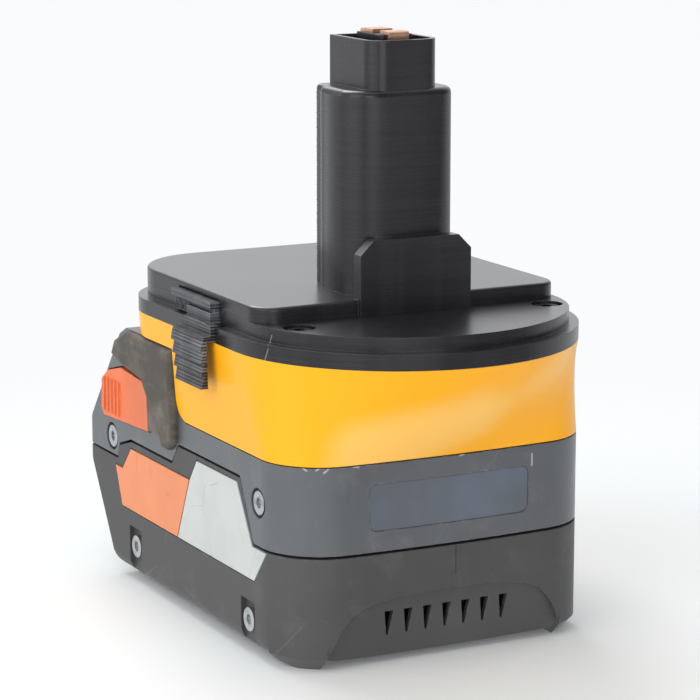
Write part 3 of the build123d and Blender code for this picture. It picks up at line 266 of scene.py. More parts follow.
class ShaderSheet(NodeSheet):
    """The node tree of a material or of the world, and the ways of drawing on it."""

    prefix = "ShaderNode"

    def __init__(self, owner: bpy.types.Material | bpy.types.World) -> None:
        """Start an empty tree for a material or for the world."""
        owner.use_nodes = True
        super().__init__(owner.node_tree)
        self.owner = owner
        self.tree.nodes.clear()

    @classmethod
    def named(cls, name: str) -> "ShaderSheet":
        """Start a new material's tree."""
        return cls(bpy.data.materials.new(name))

    def maths(self, operation: str, *numbers: Number) -> Value:
        """Add a Math node and return its result."""
        made = self.node("Math", dict(enumerate(numbers)), operation=operation)
        return Value(self, made.outputs[0])

    def vector_maths(self, operation: str, *inputs: Feed) -> bpy.types.Node:
        """Add a Vector Math node, which gives a vector or a number."""
        return self.node("VectorMath", dict(enumerate(inputs)), operation=operation)

    def length(self, first: Value, second: Value) -> Value:
        """Length of a flat vector with these two parts."""
        return self.maths("SQRT", first * first + second * second)

    def place(self) -> bpy.types.NodeSocket:
        """Object coordinates, in metres."""
        return self.node("TexCoord").outputs["Object"]

    def axes(self) -> tuple[Value, Value, Value]:
        """Object coordinates as three values, in metres."""
        split = self.node("SeparateXYZ", {0: self.place()})
        return tuple(Value(self, out) for out in split.outputs)

    def facing_up(self) -> Value:
        """How far a surface faces up: 1 on a flat top, 0 on a wall."""
        normal = self.node("NewGeometry").outputs["Normal"]
        return Value(self, self.node("SeparateXYZ", {0: normal}).outputs[2])

    def stretched(self, scale: Point, turn: float = 0.0) -> bpy.types.NodeSocket:
        """Object coordinates scaled along each axis, after a turn about Z.

        Args:
            scale: Scale along X, Y and Z.
            turn: Turn about Z, in radians.

        Returns:
            The vector socket.
        """
        turned = self.node("Mapping", {"Vector": self.place(), "Rotation": (0.0, 0.0, turn)})
        return self.node("Mapping", {"Vector": turned.outputs[0], "Scale": scale}).outputs[0]

    def noise(self, scale: float, detail: float = 3.0, rough: float = 0.55,
              vector: bpy.types.NodeSocket | None = None) -> Value:
        """Cloudy noise, about 0.5 on average.

        Args:
            scale: Features for each metre.
            detail: Octaves.
            rough: Weight of the finer octaves.
            vector: Coordinates, or None for plain object coordinates.

        Returns:
            The noise value.
        """
        made = self.node("TexNoise", {"Vector": vector or self.place(), "Scale": scale,
                                      "Detail": detail, "Roughness": rough})
        return Value(self, made.outputs[0])

    def scratches(self, scale: float, turn: float, width: float) -> Value:
        """Thin, nearly straight scratches: 1 on a scratch.

        Args:
            scale: Scratches for each metre.
            turn: Their direction about Z.
            width: Width as a share of a cell.

        Returns:
            The mask.
        """
        vector = self.stretched((scale, scale * 0.06, scale * 0.7), turn)
        cells = self.node("TexVoronoi", {"Vector": vector, "Scale": 1.0},
                          feature="DISTANCE_TO_EDGE")
        return Value(self, cells.outputs["Distance"]).ramp(width, 0.0)

    def mix_colour(self, factor: Number, first: Feed, second: Feed) -> bpy.types.NodeSocket:
        """Blend two colours: the first at factor 0, the second at factor 1."""
        return self.node("Mix", {0: factor, 6: first, 7: second}, data_type="RGBA").outputs[2]

    def line_gap(self, start: Point, end: Point) -> Value:
        """Measure how far the surface is from a straight line between two points.

        Args:
            start: One end, in metres.
            end: Other end, in metres.

        Returns:
            The distance, in metres.
        """
        run = [high - low for low, high in zip(start, end)]
        share = [step / math.dist(start, end) ** 2 for step in run]
        offset = self.vector_maths("SUBTRACT", self.place(), start).outputs[0]
        along = Value(self, self.vector_maths("DOT_PRODUCT", offset, share).outputs["Value"])
        held = self.maths("MINIMUM", self.maths("MAXIMUM", along, 0.0), 1.0)
        foot = self.node("VectorMath", {0: run, "Scale": held}, operation="SCALE").outputs[0]
        return Value(self, self.vector_maths("DISTANCE", offset, foot).outputs["Value"])

    def soft_edge(self, radius: float, samples: int = 6, flat: float = 0.985,
                  sharp: float = 0.80) -> tuple[bpy.types.NodeSocket, Value]:
        """Rounded shading at edges, and a mask of where the edges are.

        Args:
            radius: Radius of the rounding, in metres.
            samples: Samples of the rounding.
            flat: Agreement of the plain and the rounded normal where no edge is.
            sharp: Their agreement on an edge.

        Returns:
            The rounded normal and a mask that is 1 on an edge.
        """
        rounded = self.node("Bevel", {"Radius": radius}, samples=samples).outputs[0]
        plain = self.node("NewGeometry").outputs["Normal"]
        dot = self.vector_maths("DOT_PRODUCT", rounded, plain)
        return rounded, Value(self, dot.outputs["Value"]).ramp(flat, sharp)

    def bulged(self, normal: bpy.types.NodeSocket, barrel: Barrel) -> bpy.types.NodeSocket:
        """Lean a wall's normals outwards, as on a barrel.

        Args:
            normal: Normal to start from.
            barrel: Where the wall bulges, and by what share.

        Returns:
            The leaned normal.
        """
        x, y, z = self.axes()
        back = y - barrel.middle
        outwards = self.node("CombineXYZ", {0: x / barrel.half_width ** 2,
                                            1: back / barrel.half_depth ** 2}).outputs[0]
        unit = self.vector_maths("NORMALIZE", outwards).outputs[0]
        within = (z.ramp(barrel.low, barrel.low + barrel.fade)
                  * z.ramp(barrel.high, barrel.high - barrel.fade)
                  * abs(back).ramp(barrel.half_depth + barrel.fade, barrel.half_depth))
        wall = 1 - abs(self.facing_up()).ramp(0.2, 0.6)
        leaned = self.node("Mix", {0: within * wall * barrel.share, 4: normal, 5: unit},
                           data_type="VECTOR").outputs[1]
        return self.vector_maths("NORMALIZE", leaned).outputs[0]

    def bump(self, height: Value, depth: float,
             normal: bpy.types.NodeSocket) -> bpy.types.NodeSocket:
        """Lay relief on a normal, as deep as the depth in metres where the height is 1."""
        return self.node("Bump", {"Height": height, "Distance": depth, "Strength": 1.0,
                                  "Normal": normal}).outputs[0]

    def finish(self, colour: Feed, rough: Feed, normal: Feed, metal: Feed = 0.0,
               coat: Feed = 0.0, coat_rough: float = 0.1, specular: float = 0.5,
               sheen: float = 0.0) -> bpy.types.Material:
        """End the tree in a Principled shader.

        Args:
            colour: Base colour.
            rough: Roughness.
            normal: Normal.
            metal: Metallic.
            coat: Coat weight.
            coat_rough: Coat roughness, the same all over.
            specular: Specular level, the same all over.
            sheen: Sheen weight, the same all over.

        Returns:
            The finished material.
        """
        shader = self.node("BsdfPrincipled", {
            "Base Color": colour, "Roughness": rough, "Normal": normal, "Metallic": metal,
            "Coat Weight": coat, "Coat Roughness": coat_rough, "Specular IOR Level": specular,
            "Sheen Weight": sheen})
        self.node("OutputMaterial", {"Surface": shader.outputs[0]})
        return self.owner


@dataclass(frozen=True)
class MouldedFinish:
    """Injection-moulded plastic with a fine grain, scuffed edges and handling marks."""

    name: str
    colour: Colour
    worn: Colour
    rough: float = 0.5
    grain: float = 2600.0
    grain_depth: float = 0.02 * MM
    edge_radius: float = 0.35 * MM
    wear: float = 0.5
    dust: float = 0.08
    scratch: float = 0.07
    specular: float = 0.5
    mottle: float = 0.10
    patch_scale: float = 38.0
    chip_scale: float = 420.0
    dust_scale: float = 90.0
    scratch_scale: float = 46.0
    marks: tuple[Mark, ...] = ()

    def build(self) -> bpy.types.Material:
        """Make the material."""
        sheet = ShaderSheet.named(self.name)
        rounded, edge = sheet.soft_edge(self.edge_radius)
        patches = sheet.noise(self.patch_scale, 4.0, 0.6)
        fine = sheet.noise(self.grain, 2.0)
        chips = edge * sheet.noise(self.chip_scale, 3.0, 0.7).ramp(0.50, 0.70) * self.wear
        scratched = (sheet.scratches(self.scratch_scale, 0.5, 0.012)
                     * sheet.noise(60.0).ramp(0.52, 0.68))
        dusty = sheet.noise(self.dust_scale, 5.0, 0.65).ramp(0.50, 0.80) * self.dust
        tone = sheet.mix_colour(patches.ramp(0.30, 0.72), scaled(self.colour, 1 - self.mottle),
                                scaled(self.colour, 1 + self.mottle))
        tone = sheet.mix_colour(dusty + scratched * self.scratch + (fine - 0.5) * 0.08, tone,
                                self.worn)
        tone = sheet.mix_colour(chips, tone, self.worn)
        for mark in self.marks:
            tone = mark.draw(sheet, tone)
        rough = self.rough + (patches - 0.5) * 0.18 + (fine - 0.5) * 0.10 - scratched * 0.08
        relief = sheet.bump(fine * 0.6 + sheet.noise(self.grain * 0.35, 1.0) * 0.4,
                            self.grain_depth, rounded)
        return sheet.finish(tone, rough, relief, specular=self.specular)


@dataclass(frozen=True)
class PrintedFinish:
    """Filament print: stacked layers on the walls, drawn lines on glossy flat tops."""

    name: str
    colour: Colour
    pale: Colour
    rough: float
    top_rough: float = 0.36
    layer: float = 0.45 * MM
    layer_depth: float = 0.007 * MM
    line_turn: float = math.pi / 4
    contrast: float = 0.42
    coat: float = 0.0
    top_coat: float = 0.0
    coat_rough: float = 0.12
    specular: float = 0.35
    edge_radius: float = 0.25 * MM
    # Share of paler colour along the edges: a painted highlight, partly wear.
    edge_highlight_and_wear: float = 0.4
    pale_share: float = 0.32
    patch_scale: float = 32.0
    band_scale: Point = (16.0, 16.0, 900.0)
    strand_scale: Point = (1500.0, 26.0, 40.0)
    streak_scale: Point = (150.0, 150.0, 6.0)
    barrel: Barrel | None = None
    marks: tuple[Mark, ...] = ()

    def build(self) -> bpy.types.Material:
        """Make the material."""
        sheet = ShaderSheet.named(self.name)
        rounded, edge = sheet.soft_edge(self.edge_radius)
        _, _, height = sheet.axes()
        top = sheet.facing_up().ramp(0.55, 0.90)
        beads = (height * (2 * math.pi / self.layer)
                 + sheet.noise(70.0, 2.0) * 0.6).sine() * 0.5 + 0.5
        bands = sheet.noise(1.0, 4.0, 0.72, sheet.stretched(self.band_scale))
        strands = sheet.noise(1.0, 3.0, 0.65, sheet.stretched(self.strand_scale, self.line_turn))
        streaks = sheet.noise(1.0, 2.0, 0.5, sheet.stretched(self.streak_scale))
        patches = sheet.noise(self.patch_scale, 3.0, 0.5)
        shown = patches.ramp(0.38, 0.66) * 0.75 + 0.25
        walls = bands.ramp(0.30, 0.70) * 0.55 + beads * 0.45
        lines = (walls - 0.5) * (1 - top) * shown + (strands - 0.5) * top * 0.5
        tone = sheet.mix_colour(lines * self.contrast + self.pale_share + (patches - 0.5) * 0.2
                                + (streaks - 0.5) * 0.5, self.colour, self.pale)
        # Edges painted paler than the print: a painted highlight along every edge, partly edge
        # wear.
        tone = sheet.mix_colour(edge * self.edge_highlight_and_wear * (patches.ramp(0.35, 0.65) + 0.35), tone,
                                scaled(self.pale, 1.5))
        for mark in self.marks:
            tone = mark.draw(sheet, tone)
        rough = (self.rough + (self.top_rough - self.rough) * top + (patches - 0.5) * 0.08
                 + (streaks - 0.5) * 0.10 * (1 - top) + lines * 0.06)
        if self.barrel:
            rounded = sheet.bulged(rounded, self.barrel)
        return sheet.finish(tone, rough, sheet.bump(lines + 0.5, self.layer_depth, rounded),
                            coat=top * self.top_coat + self.coat, coat_rough=self.coat_rough,
                            specular=self.specular)


@dataclass(frozen=True)
class RubberFinish:
    """Soft overmould: matt, a little dusty, greyer where it is rubbed."""

    name: str
    colour: Colour
    rubbed: Colour
    rough: float = 0.72
    edge_radius: float = 0.6 * MM
    pore_scale: float = 1900.0
    pore_depth: float = 0.03 * MM
    patch_scale: float = 70.0
    streak_scale: Point = (90.0, 90.0, 420.0)

    def build(self) -> bpy.types.Material:
        """Make the material."""
        sheet = ShaderSheet.named(self.name)
        rounded, edge = sheet.soft_edge(self.edge_radius)
        pores = sheet.noise(self.pore_scale, 3.0, 0.6)
        patches = sheet.noise(self.patch_scale, 5.0, 0.62)
        streaks = sheet.noise(1.0, 3.0, 0.6, sheet.stretched(self.streak_scale))
        rubbed = patches.ramp(0.42, 0.78) * 0.55 + edge * 0.35 + streaks.ramp(0.5, 0.8) * 0.25
        tone = sheet.mix_colour(rubbed, self.colour, self.rubbed)
        tone = sheet.mix_colour((pores - 0.5) * 0.3, tone, scaled(self.colour, 0.5))
        rough = self.rough + (patches - 0.5) * 0.2
        relief = sheet.bump(pores, self.pore_depth, rounded)
        return sheet.finish(tone, rough, relief, specular=0.35, sheen=0.12)


@dataclass(frozen=True)
class FilmFinish:
    """Bare label film: satin, scuffed, with grime along its edges."""

    name: str
    colour: Colour
    grime: Colour
    rough: float = 0.34
    edge_radius: float = 0.3 * MM
    scuff_depth: float = 0.01 * MM
    patch_scale: float = 55.0
    stain_scale: float = 150.0
    scuff_scale: float = 70.0

    def build(self) -> bpy.types.Material:
        """Make the material."""
        sheet = ShaderSheet.named(self.name)
        rounded, edge = sheet.soft_edge(self.edge_radius)
        patches = sheet.noise(self.patch_scale, 4.0, 0.6)
        stains = sheet.noise(self.stain_scale, 5.0, 0.7).ramp(0.58, 0.74)
        scuffs = (sheet.scratches(self.scuff_scale, 1.1, 0.010)
                  * sheet.noise(75.0).ramp(0.50, 0.62))
        tone = sheet.mix_colour(patches.ramp(0.3, 0.75) * 0.14, self.colour, self.grime)
        tone = sheet.mix_colour(stains * 0.16 + scuffs * 0.35 + edge * 0.30, tone, self.grime)
        rough = self.rough + (patches - 0.5) * 0.15 + scuffs * 0.2
        relief = sheet.bump(1 - scuffs, self.scuff_depth, rounded)
        return sheet.finish(tone, rough, relief, coat=0.15, coat_rough=0.2)


@dataclass(frozen=True)
class MetalFinish:
    """Plated, drawn or stamped metal with fine tool marks and tarnish."""

    name: str
    colour: Colour
    tarnish: Colour
    rough: float = 0.3
    edge_radius: float = 0.12 * MM
    line_depth: float = 0.006 * MM
    line_scale: Point = (1400.0, 60.0, 120.0)
    spot_scale: float = 500.0

    def build(self) -> bpy.types.Material:
        """Make the material."""
        sheet = ShaderSheet.named(self.name)
        rounded, edge = sheet.soft_edge(self.edge_radius)
        lines = sheet.noise(1.0, 3.0, 0.6, sheet.stretched(self.line_scale, 0.3))
        spots = sheet.noise(self.spot_scale, 4.0, 0.65)
        tone = sheet.mix_colour(spots.ramp(0.45, 0.75) * 0.6 + (lines - 0.5) * 0.3, self.colour,
                                self.tarnish)
        rough = self.rough + (lines - 0.5) * 0.2 + spots.ramp(0.5, 0.8) * 0.2
        return sheet.finish(tone, rough, sheet.bump(lines, self.line_depth, rounded),
                            metal=1.0 - edge * 0.05)


@dataclass(frozen=True)
class GlossFinish:
    """Smooth plastic with a little haze, for the bare front panel and small inner parts."""

    name: str
    colour: Colour
    haze: Colour
    rough: float = 0.30
    edge_radius: float = 0.3 * MM
    cloud_depth: float = 0.01 * MM
    cloud_scale: float = 42.0
    hairline_scale: float = 90.0

    def build(self) -> bpy.types.Material:
        """Make the material."""
        sheet = ShaderSheet.named(self.name)
        rounded, edge = sheet.soft_edge(self.edge_radius)
        clouds = sheet.noise(self.cloud_scale, 4.0, 0.55)
        hairlines = (sheet.scratches(self.hairline_scale, 0.2, 0.006)
                     * sheet.noise(50.0).ramp(0.5, 0.62))
        tone = sheet.mix_colour(clouds.ramp(0.35, 0.8) * 0.35 + hairlines * 0.3 + edge * 0.2,
                                self.colour, self.haze)
        rough = self.rough + (clouds - 0.4) * 0.18 + hairlines * 0.2
        return sheet.finish(tone, rough, sheet.bump(clouds, self.cloud_depth, rounded))


# Marks that the photograph shows, as lines on the surfaces. Gate line: start, end, half its
# width, grey level and strength
GATE_LINE = (((0.0014, -0.0538, 0.0205), (0.0014, -0.0538, 0.0262), 0.26 * MM, 26, 0.8),
             ((0.0014, -0.0538, 0.0262), (0.0014, -0.0538, 0.0285), 0.34 * MM, 36, 0.6))

# Nicks along the front of the upper shell: start and end
UPPER_NICKS = (
    ((-0.0368, -0.0490, 0.0497), (-0.0361, -0.0496, 0.0491)),
    ((-0.0342, -0.0509, 0.0492), (-0.0336, -0.0511, 0.0497)),
    ((-0.0326, -0.0516, 0.0486), (-0.0316, -0.0519, 0.0494)),
    ((-0.0256, -0.0530, 0.0496), (-0.0243, -0.0531, 0.0494)),
    ((0.0024, -0.0538, 0.0494), (0.0034, -0.0538, 0.0496)),
    ((0.0225, -0.0532, 0.0446), (0.0225, -0.0532, 0.0474)))

# Scratch across the step and the ring: start, end and strength
RING_SCRATCH = (((-0.03966, -0.03906, 0.0796), (-0.03985, -0.03836, 0.0778), 0.7),
                ((-0.03985, -0.0384, 0.0777), (-0.0416, -0.0409, 0.0777), 0.5),
                ((-0.0416, -0.0409, 0.0768), (-0.0419, -0.0398, 0.0739), 0.7))

# Painted highlight on the amber front: start, end, half its width, colour and strength
FRONT_PAINTED_HIGHLIGHT = (
    ((-0.022, -0.0530, 0.0520), (0.002, -0.0570, 0.0630), 13 * MM, srgb(254, 206, 118), 0.62),
    ((0.002, -0.0570, 0.0630), (0.026, -0.0590, 0.0710), 8 * MM, srgb(254, 200, 104), 0.45))


class Finish(Enum):
    """Every finish on the object."""

    LOWER_SHELL = MouldedFinish(
        "lower_shell_grained", srgb(69, 68, 69), srgb(168, 168, 166), rough=0.52,
        marks=tuple(Mark(start, end, width, srgb(grey, grey, grey), strength)
                    for start, end, width, grey, strength in GATE_LINE))
    UPPER_SHELL = MouldedFinish(
        "upper_shell_satin", srgb(81, 84, 88), srgb(196, 196, 194), rough=0.33, grain=3200.0,
        grain_depth=0.010 * MM, wear=0.75, specular=0.75,
        marks=tuple(Mark(start, end, 0.32 * MM, srgb(186, 184, 180), 0.75)
                    for start, end in UPPER_NICKS))
    PANEL = GlossFinish("panel_smooth", srgb(87, 92, 100), srgb(112, 130, 156))
    ORANGE_LABEL = FilmFinish("label_orange_film", srgb(232, 134, 76), srgb(150, 96, 62))
    PALE_LABEL = FilmFinish("label_pale_film", srgb(196, 200, 199), srgb(110, 112, 112))
    RUBBER = RubberFinish("grip_rubber", srgb(66, 60, 52), srgb(140, 132, 120))
    BUTTON = MouldedFinish("button_orange", srgb(226, 112, 60), srgb(246, 186, 146), rough=0.42,
                           grain=2000.0)
    # The amber's marks are painted highlights, pale bands painted on its front.
    AMBER = PrintedFinish(
        "amber_print", srgb(255, 174, 14), srgb(255, 182, 30), rough=0.36, layer=0.5 * MM,
        layer_depth=0.002 * MM, contrast=0.12, coat=0.15, coat_rough=0.25,
        specular=0.2, marks=tuple(Mark(*sheen) for sheen in FRONT_PAINTED_HIGHLIGHT))
    # The black print gets a stronger painted edge highlight, partly wear.
    BLACK = PrintedFinish(
        "black_print", srgb(24, 22, 26), srgb(60, 58, 64), rough=0.27, top_rough=0.34,
        top_coat=0.72, coat=0.10, coat_rough=0.28, edge_highlight_and_wear=0.7, pale_share=0.18,
        specular=0.36,
        barrel=Barrel(middle=-20.2 * MM, half_width=14.5 * MM, half_depth=11.7 * MM,
                      low=84.9 * MM, high=132.5 * MM, share=0.55),
        marks=tuple(Mark(start, end, 0.2 * MM, srgb(150, 146, 142), strength)
                    for start, end, strength in RING_SCRATCH))
    LATCH = PrintedFinish(
        "black_print_latch", srgb(17, 17, 19), srgb(142, 145, 150), rough=0.42,
        layer=0.78 * MM, layer_depth=0.09 * MM, contrast=1.25, pale_share=0.20)
    BLOCK = MouldedFinish("block_black", srgb(26, 26, 29), srgb(90, 84, 84), rough=0.35,
                          specular=0.4)
    COPPER = MetalFinish("copper_strip", srgb(232, 186, 160), srgb(150, 112, 92), rough=0.34)
    SCREW = MetalFinish("screw_plated", srgb(196, 199, 200), srgb(110, 110, 110), rough=0.36)
    DARK_SCREW = MetalFinish("screw_blackened", srgb(50, 48, 50), srgb(26, 25, 26), rough=0.4)
    SPRING = MetalFinish("spring_wire", srgb(176, 176, 176), srgb(110, 106, 100))
    NICKEL = MetalFinish("nickel_strip", srgb(206, 202, 194), srgb(140, 132, 120))
    BRASS = MetalFinish("clip_brass", srgb(222, 190, 122), srgb(150, 116, 60))
    CELL = GlossFinish("cell_sleeve", srgb(22, 52, 66), srgb(60, 96, 112))
    HOLDER = MouldedFinish("holder_black", srgb(34, 34, 36), srgb(80, 80, 80))
    BOARD = GlossFinish("board_green", srgb(28, 84, 56), srgb(52, 110, 80), rough=0.35)
    SOLDER = MetalFinish("solder_bright", srgb(200, 200, 202), srgb(150, 150, 150))
    HOOK = MouldedFinish("hook_dark", srgb(50, 50, 52), srgb(110, 110, 110))
    RED_LEAD = RubberFinish("lead_red", srgb(168, 34, 30), srgb(196, 84, 72), rough=0.5)
    BLACK_LEAD = RubberFinish("lead_black", srgb(36, 35, 36), srgb(76, 74, 72), rough=0.5)


@functools.cache
def material_of(finish: Finish) -> bpy.types.Material:
    """Return the material of a finish, built on first use."""
    return finish.value.build()


Size = float | int | Point


class TreeMaker(NodeSheet):
    """A Geometry Nodes tree with named inputs for its sizes and places."""

    socket_kinds = {int: "NodeSocketInt", float: "NodeSocketFloat", tuple: "NodeSocketVector"}

    def __init__(self, name: str, inputs: Mapping[str, Size]) -> None:
        """Start a tree.

        Args:
            name: Name of the tree.
            inputs: Named sizes and their starting values, to which Place is added.
        """
        super().__init__(bpy.data.node_groups.new(name, "GeometryNodeTree"))
        self.tree.interface.new_socket("Geometry", in_out="OUTPUT",
                                       socket_type="NodeSocketGeometry")
        self.keys: dict[str, str] = {}
        for label, value in {**inputs, "Place": (0.0, 0.0, 0.0)}.items():
            made = self.tree.interface.new_socket(label, in_out="INPUT",
                                                  socket_type=self.socket_kinds[type(value)])
            made.default_value = value
            self.keys[label] = made.identifier
        self.inputs = self.tree.nodes.new("NodeGroupInput").outputs

    def close(self, made: bpy.types.Node, finish: Finish,
              turn: Point = (0.0, 0.0, 0.0)) -> None:
        """Turn what the tree made, move it to its place and dress it.

        Args:
            made: Node with what the tree has made.
            finish: Finish of all of it.
            turn: Turn about X, Y and Z, in radians.
        """
        moved = self.node("GeometryNodeTransform",
                          {"Geometry": made.outputs[0], "Translation": self.inputs["Place"],
                           "Rotation": turn})
        real = self.node("GeometryNodeRealizeInstances", {0: moved.outputs[0]})
        dressed = self.node("GeometryNodeSetMaterial",
                            {"Geometry": real.outputs[0], "Material": material_of(finish)})
        self.node("NodeGroupOutput", {0: dressed.outputs[0]})

    def scatter(self, points: bpy.types.Node, shape: bpy.types.Node,
                **extras: object) -> bpy.types.Node:
        """Put a shape on every point; extras are further sockets, such as Scale."""
        return self.node("GeometryNodeInstanceOnPoints",
                         {"Points": points.outputs[0], "Instance": shape.outputs[0], **extras})

    def row(self) -> bpy.types.Node:
        """Points in a straight row, from the inputs Count and Pitch."""
        return self.node("GeometryNodeMeshLine",
                         {"Count": self.inputs["Count"], "Offset": self.inputs["Pitch"]})

    def jitter(self, low: Point, high: Point) -> bpy.types.NodeSocket:
        """Draw a random vector from low to high for each point, by the tree's Seed input."""
        return self.node("FunctionNodeRandomValue",
                         {0: low, 1: high, "Seed": self.inputs["Seed"]},
                         data_type="FLOAT_VECTOR").outputs[0]

    def grow(self, name: str, values: Mapping[str, Size]) -> bpy.types.Object:
        """Run the tree and keep its result as a plain mesh.

        Args:
            name: Name of the piece.
            values: Sizes that differ from the starting values.

        Returns:
            The piece, at the origin.
        """
        carrier = put_in_scene(name + ".carrier", bpy.data.meshes.new(name + ".carrier"))
        modifier = carrier.modifiers.new("Grow", "NODES")
        modifier.node_group = self.tree
        for label, value in values.items():
            modifier[self.keys[label]] = value
        bpy.context.view_layer.update()
        graph = bpy.context.evaluated_depsgraph_get()
        mesh = bpy.data.meshes.new_from_object(carrier.evaluated_get(graph))
        carrier.modifiers.remove(modifier)
        bpy.data.objects.remove(carrier)
        mesh.name = name
        return put_in_scene(name, mesh)


@dataclass
class Pieces:
    """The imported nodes, and what every sub-assembly does with its pieces."""

    nodes: dict[str, bpy.types.Object]

    def dress(self, plan: Mapping[str, Finish]) -> None:
        """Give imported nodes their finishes.

        Args:
            plan: Finish of each node, by name.
        """
        for name, finish in plan.items():
            materials = self.nodes[name].data.materials
            materials.clear()
            materials.append(material_of(finish))
            log.info("dressed %s in %s", name, finish.value.name)

    def dress_pairs(self, plan: Mapping[str, Finish]) -> None:
        """Give the left and the right node of each name their finish.

        Args:
            plan: Finish of each pair, by name without the side.
        """
        self.dress({f"{name}_{side}": finish for _, side in SIDES
                    for name, finish in plan.items()})

    def shorten(self, name: str, joint: str, seat: float, keep: float) -> None:
        """Give a coil spring a mesh of its own.

        Args:
            name: Node of the spring.
            joint: Joint that presses it; not used.
            seat: Place along X of the end that stays still; not used.
            keep: Share of its length that is left at the joint's limit; not used.
        """
        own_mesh(self.nodes[name])

    def add(self, piece: bpy.types.Object, body: str, slot: str) -> None:
        """Let a new piece ride on a body.

        Args:
            piece: The piece, in its place.
            body: Body that carries it.
            slot: Material slot of the record that it belongs to; not used.
        """
        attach(piece, body)
        log.info("added %s to %s, %d faces", piece.name, body, len(piece.data.polygons))


@dataclass
class BatteryPack:
    """The slide-on pack: case, labels, grips, screws and what is inside."""

    pieces: Pieces
    cell_columns: int = 5
    cell_rows: int = 2
    cell_pitch: float = 19.4 * MM
    row_pitch: float = 19.0 * MM
    cells_middle: tuple[float, float] = (0.5 * MM, 24.1 * MM)
    strip_face: float = 32.75 * MM
    spot_radius: float = 0.6 * MM
    spot_height: float = 0.14 * MM
    spot_pitch: float = 2.4 * MM
    spot_sides: int = 8
    chip_count: int = 3
    chip_pitch: float = 13.0 * MM
    chip_half: float = 4.0 * MM
    chips_front: float = -28.85 * MM
    board_top: float = 45.9 * MM
    leg_size: Point = (1.1 * MM, 0.4 * MM, 0.5 * MM)
    leg_lift: float = 0.2 * MM
    leg_pitch: float = 1.2 * MM
    leg_count: int = 6

    def build(self) -> None:
        """Dress the pack, then add its weld spots and chip legs."""
        self.pieces.dress({
            "lower_case": Finish.LOWER_SHELL, "upper_case": Finish.UPPER_SHELL,
            "front_panel": Finish.PANEL, "case_screws": Finish.SCREW, "cells": Finish.CELL,
            "nickel_strips": Finish.NICKEL, "control_board": Finish.BOARD,
            "pack_terminals": Finish.BRASS})
        self.pieces.dress_pairs({
            "side_plate": Finish.ORANGE_LABEL, "rating_plate": Finish.PALE_LABEL,
            "grip": Finish.RUBBER, "cell_holder": Finish.HOLDER, "release_spring": Finish.SPRING})
        self._weld_spots()
        self._chip_legs()

    def _weld_spots(self) -> None:
        """Four weld spots on the strips over every cell end."""
        tree = TreeMaker("weld_spots", {
            "Columns": self.cell_columns, "Rows": self.cell_rows,
            "Column span": self.cell_pitch * (self.cell_columns - 1),
            "Row span": self.row_pitch * (self.cell_rows - 1), "Spot pitch": self.spot_pitch,
            "Radius": self.spot_radius, "Height": self.spot_height})
        spot = tree.node("GeometryNodeMeshCylinder",
                         {"Vertices": self.spot_sides, "Radius": tree.inputs["Radius"],
                          "Depth": tree.inputs["Height"]})
        square = tree.node("GeometryNodeMeshGrid",
                           {"Size X": tree.inputs["Spot pitch"], "Vertices X": 2,
                            "Size Y": tree.inputs["Spot pitch"], "Vertices Y": 2})
        ends = tree.node("GeometryNodeMeshGrid",
                         {"Size X": tree.inputs["Row span"], "Vertices X": tree.inputs["Rows"],
                          "Size Y": tree.inputs["Column span"],
                          "Vertices Y": tree.inputs["Columns"]})
        tree.close(tree.scatter(ends, tree.scatter(square, spot)), Finish.SOLDER,
                   (0.0, math.pi / 2, 0.0))
        for side, name in SIDES:
            place = (side * self.strip_face, *self.cells_middle)
            self.pieces.add(tree.grow(f"weld_spots_{name}", {"Place": place}), "battery_pack",
                            "nickel")

    def _chip_legs(self) -> None:
        """Two rows of legs beside each chip on the control board."""
        tree = TreeMaker("chip_legs", {
            "Count": self.chip_count, "Pitch": (0.0, self.chip_pitch, 0.0),
            "Legs": self.leg_count, "Leg span": self.leg_pitch * (self.leg_count - 1),
            "Across": 2 * self.chip_half, "Leg size": self.leg_size})
        leg = tree.node("GeometryNodeMeshCube", {"Size": tree.inputs["Leg size"]})
        rows = tree.node("GeometryNodeMeshGrid",
                         {"Size X": tree.inputs["Across"], "Vertices X": 2,
                          "Size Y": tree.inputs["Leg span"], "Vertices Y": tree.inputs["Legs"]})
        tree.close(tree.scatter(tree.row(), tree.scatter(rows, leg)), Finish.SOLDER)
        place = (0.0, self.chips_front, self.board_top + self.leg_lift)
        self.pieces.add(tree.grow("chip_legs", {"Place": place}), "battery_pack", "board")


@dataclass
class ReleaseButtons:
    """The two ribbed release buttons with their hooks."""

    pieces: Pieces
    spring_seat: float = 28.4 * MM
    spring_keep: float = 0.60

    def build(self) -> None:
        """Dress the buttons and give their springs meshes of their own."""
        for side, name in SIDES:
            self.pieces.shorten(f"release_spring_{name}", f"release_{name}_press",
                                side * self.spring_seat, self.spring_keep)
        self.pieces.dress_pairs({"release_button": Finish.BUTTON, "release_hook": Finish.HOOK})


